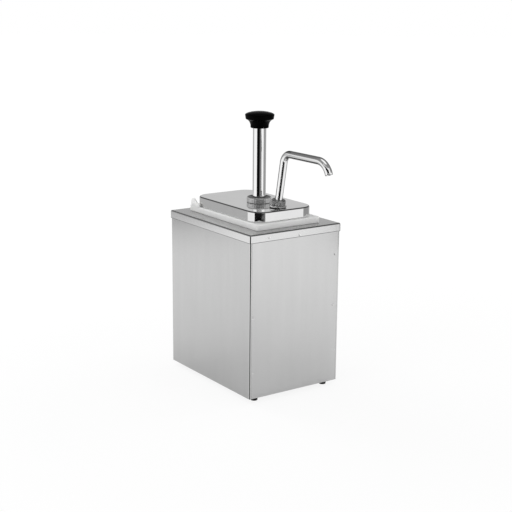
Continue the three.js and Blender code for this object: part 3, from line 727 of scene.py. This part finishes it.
def make_panel():
    """The flat front sheet with its rounded edges and the dents of its spot welds."""
    half = SHEET / 2
    middle = PANEL_FRONT - half
    z_lines = lines_near([z for _, z in DENTS], PANEL_EDGE, SKIN_TOP - PANEL_EDGE)
    y_ends = PANEL_Y - PANEL_EDGE - 0.2
    y_lines = lines_near([y for y, _ in DENTS], -y_ends, y_ends)
    cuts = [(y + y_ends) / (2 * y_ends) for y in y_lines]

    def ring(inset, z):
        sizes = half - inset, PANEL_Y - inset, PANEL_EDGE - inset
        shape = outline(*sizes, x=middle, steps=5, support=0.1, front_cuts=cuts)
        return pressed(shape, DENTS, z, middle + half - inset - CLOSE)

    edge = [(PANEL_EDGE * 0.9 * left, PANEL_EDGE * gone) for left, gone in quarter(4)[:-1]]
    rings = [ring(inset, z) for inset, z in edge]
    rings += [ring(0, z) for z in z_lines]
    rings += [ring(inset, SKIN_TOP - z) for inset, z in reversed(edge)]
    panel = new_object("front_sheet", skin(rings), angle=50)
    put(panel, "housing", FRONT, ["front_panel"])


def make_deck():
    """The top sheet: its band with the cut edge, the bend, the flat, and a lip round the pan's opening."""
    low = DECK_TOP - DECK_BAND
    under = DECK_TOP - SHEET
    y_lines = lines_near([y for y, _ in BAND_DENTS], -DECK_Y + 3, DECK_Y - 3)
    cuts = [(y + DECK_Y) / (2 * DECK_Y) for y in y_lines]

    def outer(inset, z):
        sizes = DECK_X - inset, DECK_Y - inset, max(DECK_BEND - inset, 0.3)
        shape = outline(*sizes, steps=8, support=0.5, front_cuts=cuts)
        return pressed(shape, BAND_DENTS, z, DECK_X - CLOSE)

    def hole(grown, z):
        sizes = OPEN_X + grown, OPEN_Y + grown, OPEN_R + grown
        return at_height(outline(*sizes, x=PAN_MID, steps=8, support=0.5, front_cuts=cuts), z)

    rings = [outer(0.4, low), outer(0.12, low + 0.12), outer(0, low + 0.4)]
    rings += [outer(0, low + 1 + k) for k in range(int(DECK_BAND - DECK_BEND))]
    rings += [outer(DECK_BEND * gone, DECK_TOP - DECK_BEND * left) for left, gone in quarter(8)]
    rings += [outer(DECK_BEND + PAST_BEND, DECK_TOP), hole(SHEET + PAST_BEND, DECK_TOP)]
    rings += [hole(SHEET * left, DECK_TOP - SHEET * gone) for left, gone in quarter(4)]
    rings += [hole(0, DECK_TOP - DECK_LIP), hole(SHEET, DECK_TOP - DECK_LIP), hole(SHEET, under)]
    rings += [outer(SHEET, under), outer(SHEET, low)]
    deck = new_object("deck", skin(rings, loop=True))
    put(deck, "housing", DECK, ["top_deck"])


def make_feet():
    corners = [(0, -FOOT_HEIGHT, 0), (FOOT_STAND_R, -FOOT_HEIGHT, 0.9), (FOOT_R, -GAP, 0.6)]
    corners += [(FOOT_HOLE_R, -GAP, 0), (FOOT_HOLE_R, FOOT_HOLE_BOTTOM, 0), (0, FOOT_HOLE_BOTTOM, 0)]
    for end, x in (("front", FOOT_X), ("back", -FOOT_X)):
        for side, y in (("left", FOOT_Y), ("right", -FOOT_Y)):
            name = "foot_%s_%s" % (end, side)
            foot = new_object("rubber_" + name, lathe(fillet(corners), 48))
            put(foot, "housing", RUBBER, [name], Matrix.Translation((x, y, 0)))


make_wrap()
make_panel()
make_deck()
make_feet()


# ---- pan ----
PAN_EDGE = 1.3  # rounding of the rim's upper edge
NECK_FOOT = 1.6  # rounding where the neck stands on the rim
FLOOR_BEND = 5.0
HEIGHTS = (150, 200, 250, 300)  # of the rings in the tall walls
# Lugs: their outline seen from the side, as shares of length and height, and how they thin out to both faces
EAR_LENGTH = 30.0
EAR_HEIGHT = 14.5
EAR_THICK = 3.0
EAR_FACES = ((-1, 0.9), (-0.85, 0.35), (-0.5, 0), (0.5, 0), (0.85, 0.35), (1, 0.9))
EAR_RISE = ((0, -0.1), (0, 0.15), (0.03, 0.66), (0.12, 0.9), (0.28, 1), (0.42, 0.93))
EAR_TAIL = ((0.58, 0.68), (0.72, 0.5), (0.94, 0.4), (1, 0.2), (1, -0.1))


def make_pan():
    """The pan from the inside of its floor up over the neck, down the rim and back under its walls."""

    def walls(shrunk, z):
        share = 1 - PAN_TAPER * (NECK_TOP - z) / (NECK_TOP - PAN_BOTTOM)
        shape = outline(NECK_X - shrunk, NECK_Y - shrunk, NECK_R - shrunk)
        return [(px * share + PAN_MID, py * share, z) for px, py in shape]

    def rim(shrunk, z):
        return at_height(outline(RIM_X - shrunk, RIM_Y - shrunk, max(RIM_R - shrunk, 0.5), PAN_MID), z)

    floor = PAN_BOTTOM + PAN_WALL
    skirt = DECK_TOP + 0.08
    outer_bend = FLOOR_BEND + 2
    rings = [walls(PAN_WALL + FLOOR_BEND + 1, floor)]
    rings += [walls(PAN_WALL + FLOOR_BEND * left, floor + FLOOR_BEND * gone) for left, gone in quarter(6)]
    rings += [walls(PAN_WALL, z) for z in (*HEIGHTS, NECK_TOP - 1.6)]
    for k in range(9):
        angle = math.pi * k / 8
        rings.append(walls(PAN_WALL / 2 * (1 + math.cos(angle)), NECK_TOP - PAN_WALL / 2 * (1 - math.sin(angle))))
    rings.append(walls(0, RIM_TOP + 2.2))
    for left, gone in quarter(4):
        shape = walls(-NECK_FOOT * gone, RIM_TOP)
        rings.append([(px, py, RIM_TOP + NECK_FOOT * left) for px, py, _ in shape])
    rings.append(rim(PAN_EDGE + 0.6, RIM_TOP))
    rings += [rim(PAN_EDGE * left, RIM_TOP - PAN_EDGE * gone) for left, gone in quarter(6)]
    rings += [rim(0, skirt + 0.4), rim(0.4, skirt), rim(PAN_WALL - 0.4, skirt), rim(PAN_WALL, skirt + 0.4)]
    rings.append(rim(PAN_WALL, RIM_TOP - PAN_WALL))
    rings.append(walls(-1, RIM_TOP - PAN_WALL))
    rings += [walls(0, z) for z in (RIM_TOP - PAN_WALL - 1, *HEIGHTS[2::-1])]
    rings += [walls(outer_bend * gone, PAN_BOTTOM + outer_bend * left) for left, gone in quarter(6)]
    rings.append(walls(outer_bend + 1, PAN_BOTTOM))
    pan = new_object("pan", skin(rings), angle=40)
    put(pan, "pan", MILKY, ["food_pan"])


def smooth_line(points, steps=6):
    """Points on a smooth line through the given ones."""
    made = []
    for i in range(len(points) - 1):
        p = [Vector(points[min(max(i + k, 0), len(points) - 1)]) for k in (-1, 0, 1, 2)]
        for s in range(steps):
            t = s / steps
            a = 2 * p[1] + (p[2] - p[0]) * t
            b = (2 * p[0] - 5 * p[1] + 4 * p[2] - p[3]) * t * t
            c = (3 * p[1] - p[0] - 3 * p[2] + p[3]) * t * t * t
            made.append((a + b + c) / 2)
    made.append(Vector(points[-1]))
    return made


def make_ears():
    """The two lugs that stand on the rim's back corners."""
    shape = smooth_line([(u * EAR_LENGTH, v * EAR_HEIGHT) for u, v in EAR_RISE + EAR_TAIL])
    back = PAN_MID - RIM_X + RIM_R
    for name, side in (("left", 1), ("right", -1)):
        middle = side * (RIM_Y - EAR_THICK / 2)
        centre = Vector((0.4 * EAR_LENGTH, 0.35 * EAR_HEIGHT))
        rings = []
        for share, shrink in EAR_FACES:
            spots = [point + (centre - point).normalized() * shrink for point in shape]
            y = middle + share * EAR_THICK / 2
            rings.append([(back + spot.x, y, RIM_TOP + max(spot.y, -1.2)) for spot in spots])
        ear = new_object("pan_ear_" + name, skin(rings), angle=50)
        put(ear, "pan", MILKY)


make_pan()
make_ears()


# ---- lid ----
def make_lid():
    """The pressed lid, with a round hole for the pump and a slanted one for the sleeve."""

    def ring(shrunk, z):
        sizes = LID_X - shrunk, LID_Y - shrunk, LID_R - shrunk
        return at_height(outline(*sizes, x=PAN_MID, steps=24, support=1.5), z)

    inside = LID_BEND - LID_SHEET
    rings = [ring(LID_BEND + 1.2, LID_TOP), ring(LID_BEND + 0.6, LID_TOP)]
    rings += [ring(LID_BEND * left, LID_TOP - LID_BEND * gone) for left, gone in quarter(10)]
    rings += [ring(0, LID_TOP - LID_BEND - 0.6), ring(0, LID_BOTTOM + 0.7), ring(0, LID_BOTTOM + 0.3)]
    rings += [ring(0.3, LID_BOTTOM), ring(LID_SHEET - 0.3, LID_BOTTOM), ring(LID_SHEET, LID_BOTTOM + 0.3)]
    under = LID_TOP - LID_SHEET
    rings.append(ring(LID_SHEET, under - inside - 0.4))
    rings += [ring(LID_SHEET + inside * gone, under - inside * left) for left, gone in quarter(4)]
    rings.append(ring(LID_SHEET + inside + 0.5, under))
    lid = new_object("lid", skin(rings))
    tools = []
    for radius, low, high, sides, placed in (
        (PUMP_HOLE_R, 300, 340, 64, ON_PUMP),
        (SLEEVE_HOLE_R, -9, 9, 48, LEANED),
    ):
        tools.append(new_object("lid_hole", lathe([(0, low), (radius, low), (radius, high), (0, high)], sides)))
        tools[-1].data.transform(placed)
    cut(lid, tools)
    put(lid, "lid", LID, ["pump_lid"])


def ribbed(ribs, depth, low, high, beyond, sharp=1.0):
    """A radius rule for a lathe: ribs round what lies beyond a radius, which fade out from one height to another."""

    def shape(radius, height, angle):
        if radius <= beyond:
            return radius
        fade = min(max((high - height) / (high - low), 0), 1)
        wave = 0.5 - 0.5 * math.cos(ribs * angle)
        return radius - depth * fade * wave**sharp

    return shape


def make_collar():
    """The collar nut: finely ribbed, dished on top, hollow over the barrel's neck."""
    top = COLLAR_TOP
    dish = top - 1.7
    ceiling = top - 2.4
    corners = [(COLLAR_R, COLLAR_BOTTOM, 0.7), (COLLAR_R, top, 2.6), (18.4, top, 1.4), (14.0, dish, 0.6)]
    corners += [(COLLAR_HOLE_R, dish, 0.2), (COLLAR_HOLE_R, ceiling, 0)]
    corners += [(PUMP_HOLE_R, ceiling, 0), (PUMP_HOLE_R, COLLAR_BOTTOM, 0.3)]
    profile = fillet(corners, loop=True, steps=7)
    ribs = ribbed(COLLAR_RIBS, 0.24, top - 3.4, top - 0.4, 18)
    collar = new_object("collar", lathe(profile, COLLAR_RIBS * 8, loop=True, shape=ribs), angle=45)
    put(collar, "collar_nut", NUTS, ["collar_nut"], ON_PUMP)


make_lid()
make_collar()


# ---- plunger and knob ----
def make_plunger():
    inside = TUBE_R - TUBE_WALL
    corners = [(TUBE_R, TUBE_BOTTOM, 0.4), (TUBE_R, TUBE_TOP, 0.4)]
    corners += [(inside, TUBE_TOP, 0.3), (inside, TUBE_BOTTOM, 0.3)]
    tube = new_object("plunger_rod", lathe(fillet(corners, loop=True, steps=3), 128, loop=True))
    put(tube, "plunger", CHROME, ["plunger_tube"], ON_PUMP)


# The knob's profile in pieces, from the hole for the stud and the tube outwards and up, as (radius, height above the
# knob's foot, rounding). The flare is a smooth line through its points.
KNOB_SOCKET = ((0, 21.3, 0), (4.3, 21.3, 0), (4.3, 8.3, 0), (12.5, 8.3, 0), (12.5, 0, 0.6))
KNOB_FOOT = ((16.3, 0, 0.9), (16.8, 2.2, 0.8))
KNOB_FLARE = ((16.8, 4.6), (17.2, 6.8), (18.0, 9.0), (19.2, 11.4), (21.4, 13.8), (24.2, 15.4))
KNOB_RIM = ((25.6, 16.2, 0.8), (26.9, 24.2, 1.3))
KNOB_DOME = ((25.2, 25.7, 0), (22.0, 27.2, 0), (16.0, 28.8, 0), (9.0, 29.8, 0), (0, 30.1, 0))


def make_knob():
    flare = tuple((p.x, p.y, 0) for p in smooth_line(KNOB_FLARE, 4))
    corners = KNOB_SOCKET + KNOB_FOOT + flare + KNOB_RIM + KNOB_DOME
    profile = fillet([(radius, KNOB_BOTTOM + height, rounding) for radius, height, rounding in corners])
    knob = new_object("push_knob", lathe(profile), angle=38)
    put(knob, "plunger", BLACK, ["knob"], ON_PUMP)


make_plunger()
make_knob()


# ---- spout ----
SPOUT_LIP = 0.25
STRAIGHT_END = 60.0  # where the straight of the riser ends
# Steps of the sleeve and its flange: (length along the leaning axis, radius)
SLEEVE = [(-7.9, SPOUT_R), (-7.6, SPOUT_R), (-7.6, FLANGE_R - 0.4), (-7.2, FLANGE_R), (-5.0, FLANGE_R)]
SLEEVE += [(-4.6, FLANGE_R - 0.4), (-4.6, SLEEVE_R), (-4.2, SLEEVE_R), (12.4, SLEEVE_R), (12.9, SLEEVE_R - 0.5)]
SLEEVE += [(12.9, SPOUT_R + 0.2), (13.1, SPOUT_R), (13.6, SPOUT_R)]


def spout_line():
    """Stations (x, z, heading below level) along the bends of the discharge tube and its arm."""
    riser = LEAN - math.pi / 2
    stations = []

    def bend(x, z, radius, first, last, steps):
        for k in range(steps + 1):
            angle = first + (last - first) * k / steps
            stations.append((x + radius * math.sin(angle), z + radius * math.cos(angle), angle))

    arm = LID_TOP + ARM_RISE
    corner = SPOUT_X + ARM_RISE * math.tan(LEAN)
    bend(corner + RISER_BEND * math.tan(-riser / 2), arm - RISER_BEND, RISER_BEND, riser, 0, 24)
    bend(SPOUT_X + ARM_REACH, arm - TIP_BEND, TIP_BEND, 0, TIP_ANGLE, 20)
    x, z, angle = stations[-1]
    stations.append((x + TIP_LENGTH * math.cos(angle), z - TIP_LENGTH * math.sin(angle), angle))
    return stations


def make_spout():
    """The discharge tube and the spout in one bent tube, open at both ends, with its sleeve."""
    bends = spout_line()
    riser = LEAN - math.pi / 2

    def station(length):
        return (SPOUT_X + length * math.sin(LEAN), LID_TOP + length * math.cos(LEAN), riser)

    def ring(place, radius):
        x, z, angle = place
        out = Vector((math.sin(angle), 0, math.cos(angle)))
        return circle(Vector((x, 0, z)), radius, out, Vector((0, 1, 0)), 64)

    lip = SPOUT_LIP
    steps = [(TUBE_START, SPOUT_R - lip), (TUBE_START + lip, SPOUT_R), (TUBE_START + 1, SPOUT_R)]
    steps += [*SLEEVE, (STRAIGHT_END, SPOUT_R)]
    rings = [ring(station(length), radius) for length, radius in steps]
    rings += [ring(place, SPOUT_R) for place in bends]
    x, z, angle = bends[-1]
    before = (x - lip * math.cos(angle), z + lip * math.sin(angle), angle)
    rings[-1] = ring(before, SPOUT_R)
    rings += [ring(bends[-1], SPOUT_R - 0.15), ring(bends[-1], SPOUT_BORE + 0.15), ring(before, SPOUT_BORE)]
    rings += [ring(place, SPOUT_BORE) for place in reversed(bends[:-1])]
    rings += [ring(station(STRAIGHT_END), SPOUT_BORE), ring(station(TUBE_START), SPOUT_BORE)]
    spout = new_object("spout_pipe", skin(rings, loop=True))
    put(spout, "spout", SPOUT_CHROME, ["spout_tube"])


def make_spout_nut():
    corners = [(NUT_R, NUT_BOTTOM, 0.5), (NUT_R, NUT_TOP, 1.2), (11.4, NUT_TOP, 0.6)]
    corners += [(SLEEVE_HOLE_R, NUT_TOP - 1.5, 0.2), (SLEEVE_HOLE_R, NUT_BOTTOM, 0.3)]
    profile = fillet(corners, loop=True)
    ribs = ribbed(NUT_RIBS, 0.8, NUT_TOP - 1.6, NUT_TOP - 0.5, 10.8, 0.7)
    nut = new_object("spout_lock_nut", lathe(profile, NUT_RIBS * 10, loop=True, shape=ribs), angle=45)
    put(nut, "spout_nut", LOCK_NUT, ["spout_nut"], LEANED)


def make_washer():
    """The plate under the nut. Its skirt reaches down to the lid on the side where the leaning spout lifts it."""
    low = WASHER_BOTTOM - SKIRT_DROP
    corners = [(WASHER_R, low, 0.1), (WASHER_R, WASHER_BOTTOM + 0.2, 0.2), (NUT_R - 0.4, WASHER_TOP, 0.5)]
    corners += [(SLEEVE_HOLE_R, WASHER_TOP, 0.2), (SLEEVE_HOLE_R, WASHER_BOTTOM, 0.2)]
    corners += [(SKIRT_INNER_R, WASHER_BOTTOM, 0.2), (SKIRT_INNER_R, low, 0.1)]
    body = lathe(fillet(corners, loop=True, steps=5), loop=True)
    for vert in body.verts:
        if vert.co.z < WASHER_BOTTOM - 0.4:
            vert.co.z += min(0.6, vert.co.x * math.tan(LEAN) + SKIRT_GAP - low)
    washer = new_object("spout_plate", body)
    put(washer, "lid", PLATE, ["spout_washer"], LEANED)


make_spout()
make_spout_nut()
make_washer()


# ---- pump body under the lid ----
def make_barrel():
    """The pump's cylinder, with the flange by which it hangs under the lid."""
    low, high = BARREL_FLANGE
    corners = [(BARREL_BORE, BARREL_BOTTOM, 0.4), (BARREL_R, BARREL_BOTTOM, 0.6), (BARREL_R, low, 0.8)]
    corners += [(BARREL_FLANGE_R, low, 0.5), (BARREL_FLANGE_R, high, 0.4), (BARREL_R, high, 0)]
    corners += [(BARREL_R, BARREL_TOP, 0.4), (BARREL_BORE, BARREL_TOP, 0.4)]
    barrel = new_object("pump_barrel", lathe(fillet(corners, loop=True, steps=4), loop=True))
    put(barrel, "lid", CHROME, ["pump_cylinder"], ON_PUMP)


def make_spring():
    """The coil round its own axis, with one closed turn at each end."""
    sides, per_turn = 12, 24
    height = SPRING_TOP - SPRING_BOTTOM - 2 * WIRE_R
    closed = 2 * WIRE_R + SPRING_END_GAP
    open_pitch = (height - 2 * closed) / (SPRING_TURNS - 2)

    def place(turn):
        rise = closed * min(turn, 1) + open_pitch * min(max(turn - 1, 0), SPRING_TURNS - 2)
        rise += closed * max(turn - SPRING_TURNS + 1, 0)
        angle = 2 * math.pi * turn
        return Vector((SPRING_R * math.cos(angle), SPRING_R * math.sin(angle), SPRING_BOTTOM + WIRE_R + rise))

    rings = []
    for k in range(SPRING_TURNS * per_turn + 1):
        turn = k / per_turn
        ahead = (place(min(turn + 0.01, SPRING_TURNS)) - place(max(turn - 0.01, 0))).normalized()
        out = Vector((math.cos(2 * math.pi * turn), math.sin(2 * math.pi * turn), 0))
        rings.append(circle(place(turn), WIRE_R, out, ahead.cross(out), sides))
    spring = new_object("coil_spring", skin(rings), angle=60)
    put(spring, "lid", CHROME, ["return_spring"], ON_PUMP)
    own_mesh(spring)


make_barrel()
make_spring()

# ---- CAD nodes that keep their shape ----
for finish, names in (
    (WALLS, ["base_plate"]),
    (NUTS, ["foot_screw_front_left", "foot_screw_front_right", "foot_screw_back_left", "foot_screw_back_right"]),
    (NUTS, ["knob_stud"]),
    (WHITE, ["guide_bush", "valve_body", "ball_retainer", "piston", "spring_cap"]),
    (SEAL, ["collar_gasket", "body_ring", "piston_seal", "tube_ring"]),
    (CHROME, ["inlet_ball", "outlet_ball"]),
    (PAD, ["spout_upper_seal"]),
    (RUBBER, ["spout_lower_seal"]),
):
    for name in names:
        dress(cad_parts[name], finish)


# ---- stage: floor, background, reflector cards and lamps ----
TOWARDS_CAMERA = math.atan2(CAMERA_AT.y, CAMERA_AT.x)
# Cards that stand round the middle and show only in the object's gloss: (name, first and last bearing in degrees to
# the right of the camera, points (radius, height) of the card from its foot up, level of grey)
MIDDLE = (0.0, 0.0)
FAR = 1.25
CARDS = (
    ("flag_foot", -44, 15, ((FAR, 0.0), (FAR, 0.02)), 0.12),
    ("flag_lid", -44, 15, ((FAR, 0.02), (FAR, 0.05)), 0.01),
    ("flag_low", -44, 6, ((FAR, 0.05), (FAR, 0.6)), 0.004),
    ("flag_side", 6, 31, ((FAR, 0.05), (FAR, 0.6)), 0.17),
    ("flag_middle", -44, 33, ((FAR, 0.6), (FAR, 0.83)), 0.5),
    ("flag_high", -54, 16, ((1.22, 0.83), (1.0, 1.1), (0.85, 1.22)), 0.01),
    ("left_foot", -180, -105, ((FAR, 0.0), (FAR, 0.06)), 0.9),
    ("grey_left", -180, -105, ((FAR, 0.06), (FAR, 0.42)), 0.5),
    ("grey_right", 76, 130, ((FAR, 0.0), (FAR, 0.42)), 0.34),
    ("grey_back", 130, 180, ((FAR, 0.0), (FAR, 0.42)), 0.45),
    ("card_back", 115, 245, ((FAR, 0.42), (FAR, 0.83)), 0.63),
    ("ceiling_front", -60, 60, ((0.75, 1.29), (0.4, 1.45)), 0.28),
    ("ceiling_back", 60, 300, ((FAR, 0.83), (0.95, 1.25), (0.4, 1.45)), 0.28),
)
# Slats round the riser that hide the floor from the leaning spout, and that the walls mirror edge on: their first
# bearing, the last one of each, the height of the lowest one's inner edge, the step up to the next, the radii of
# their inner and outer edges, the fall between these, and their level of grey
RISER = (0.04, 0.0)
SLAT_FIRST = -42
SLAT_LASTS = (30, 30, 30, 30, 30, 30, 14, 14, 14)
SLAT_LOW = 0.155
SLAT_STEP = 0.0165
SLAT_ENDS = (0.3, 0.39)
SLAT_FALL = 0.0275
SLAT_LEVEL = 0.01
# The share of white that the floor shows to the camera and in gloss: (metres from the middle, share) near and far
FLOOR_WHITE = ((0.5, 0.86), (1.5, 1.0))
GLOSS_WHITE = ((0.25, 0.14), (1.2, 1.0))
CARD_ARC = 6  # degrees that one face of a card spans
FLOOR_R = 14.0
FLOOR_COLOR = grey(0.9)
FLOOR_GLOW = 1.02
WORLD_LEVEL = 0.6
# Lamps: (name, place, side in metres, watts)
LAMP_AIM = Vector((-0.05, 0, 0.25))
LAMPS = (
    ("lamp_behind", (-1.5, -0.3, 1.3), 0.9, 10),
    ("lamp_beside", (0.1, 1.6, 1.4), 0.9, 6),
    ("lamp_right", (1.9, 0.9, 0.6), 1.2, 7),
    ("lamp_left", (0.2, -2.2, 0.6), 1.5, 14),
)


def emptied(owner):
    """The nodes of a material or of the world, with none left in it."""
    owner.use_nodes = True
    owner.node_tree.nodes.clear()
    return owner.node_tree.nodes


def unlit(name, level):
    """A material of one level of grey, whatever light falls on it."""
    made = bpy.data.materials.new(name)
    made.cycles.emission_sampling = "NONE"
    nodes = emptied(made)
    glow = nodes.new("ShaderNodeEmission")
    fill(glow, Strength=level)
    fill(nodes.new("ShaderNodeOutputMaterial"), Surface=glow.outputs[0])
    return made


def make_card(name, place, first, last, shape, level):
    """An unlit card that shows in gloss only."""
    body = bmesh.new()
    steps = max(2, round((last - first) / CARD_ARC))
    columns = []
    for k in range(steps + 1):
        angle = TOWARDS_CAMERA + math.radians(first + (last - first) * k / steps)
        out = Vector((math.cos(angle), math.sin(angle)))
        columns.append([body.verts.new((place[0] + r * out.x, place[1] + r * out.y, z)) for r, z in shape])
    for a, b in zip(columns, columns[1:]):
        for i in range(len(shape) - 1):
            body.faces.new((a[i], b[i], b[i + 1], a[i + 1]))
    card = mesh_object(name, body)
    card.data.materials.append(unlit(name, level))
    card.visible_camera = card.visible_diffuse = False
    card.visible_transmission = card.visible_shadow = False


def seen_rays(nodes, camera_share, gloss_share):
    """The share of white for a ray that shows the background: to the camera, in gloss or through glass."""
    path = nodes.new("ShaderNodeLightPath")
    total = 0
    for ray in ("Is Camera Ray", "Is Glossy Ray", "Is Transmission Ray"):
        part = nodes.new("ShaderNodeMath")
        part.operation = "MULTIPLY_ADD"
        share = camera_share if ray == "Is Camera Ray" else gloss_share
        for socket, value in zip(part.inputs, (path.outputs[ray], share, total)):
            feed(socket, value)
        total = part.outputs[0]
    return total


def show(nodes, output, plain, white, shares):
    """Puts out the plain shader, and the white one for its shares of the rays that show the background."""
    shown = nodes.new("ShaderNodeMixShader")
    for socket, value in zip(shown.inputs, (seen_rays(nodes, *shares), plain.outputs[0], white.outputs[0])):
        feed(socket, value)
    fill(nodes.new(output), Surface=shown.outputs[0])


def make_world():
    world = bpy.data.worlds.new("world")
    bpy.context.scene.world = world
    nodes = emptied(world)
    plain, white = (nodes.new("ShaderNodeBackground") for _ in range(2))
    fill(plain, Color=grey(1), Strength=WORLD_LEVEL)
    fill(white, Color=grey(1), Strength=1)
    show(nodes, "ShaderNodeOutputWorld", plain, white, (1, 1))


def make_floor():
    """A white floor that keeps the object's shadow, and that gloss sees greyer near the object."""
    body = bmesh.new()
    bmesh.ops.create_circle(body, cap_ends=True, segments=96, radius=FLOOR_R)
    floor = mesh_object("floor", body)
    made = bpy.data.materials.new("floor_white")
    nodes = emptied(made)
    away = nodes.new("ShaderNodeVectorMath")
    away.operation = "LENGTH"
    feed(away.inputs[0], nodes.new("ShaderNodeTexCoord").outputs["Object"])
    shares = []
    for (near, low), (far, high) in (FLOOR_WHITE, GLOSS_WHITE):
        share = nodes.new("ShaderNodeMapRange")
        fill(share, Value=away.outputs["Value"], From_Min=near, From_Max=far, To_Min=low, To_Max=high)
        shares.append(share.outputs["Result"])
    lit = nodes.new("ShaderNodeBsdfDiffuse")
    fill(lit, Color=FLOOR_COLOR)
    glow = nodes.new("ShaderNodeEmission")
    fill(glow, Strength=FLOOR_GLOW)
    show(nodes, "ShaderNodeOutputMaterial", lit, glow, shares)
    floor.data.materials.append(made)


def make_lamp(name, place, size, power):
    """A square lamp that doesn't show in gloss."""
    data = bpy.data.lights.new(name, "AREA")
    data.size = size
    data.energy = power
    lamp = added(name, data)
    lamp.location = place
    lamp.rotation_euler = (LAMP_AIM - Vector(place)).to_track_quat("-Z", "Y").to_euler()
    lamp.visible_glossy = False


make_world()
make_floor()
for name, *card in CARDS:
    make_card(name, MIDDLE, *card)
for number, last in enumerate(SLAT_LASTS):
    height = SLAT_LOW + SLAT_STEP * number
    shape = list(zip(SLAT_ENDS, (height, height - SLAT_FALL)))
    make_card("slat_%d" % number, RISER, SLAT_FIRST, last, shape, SLAT_LEVEL)
for lamp in LAMPS:
    make_lamp(*lamp)
bpy.context.scene.view_settings.view_transform = "Standard"
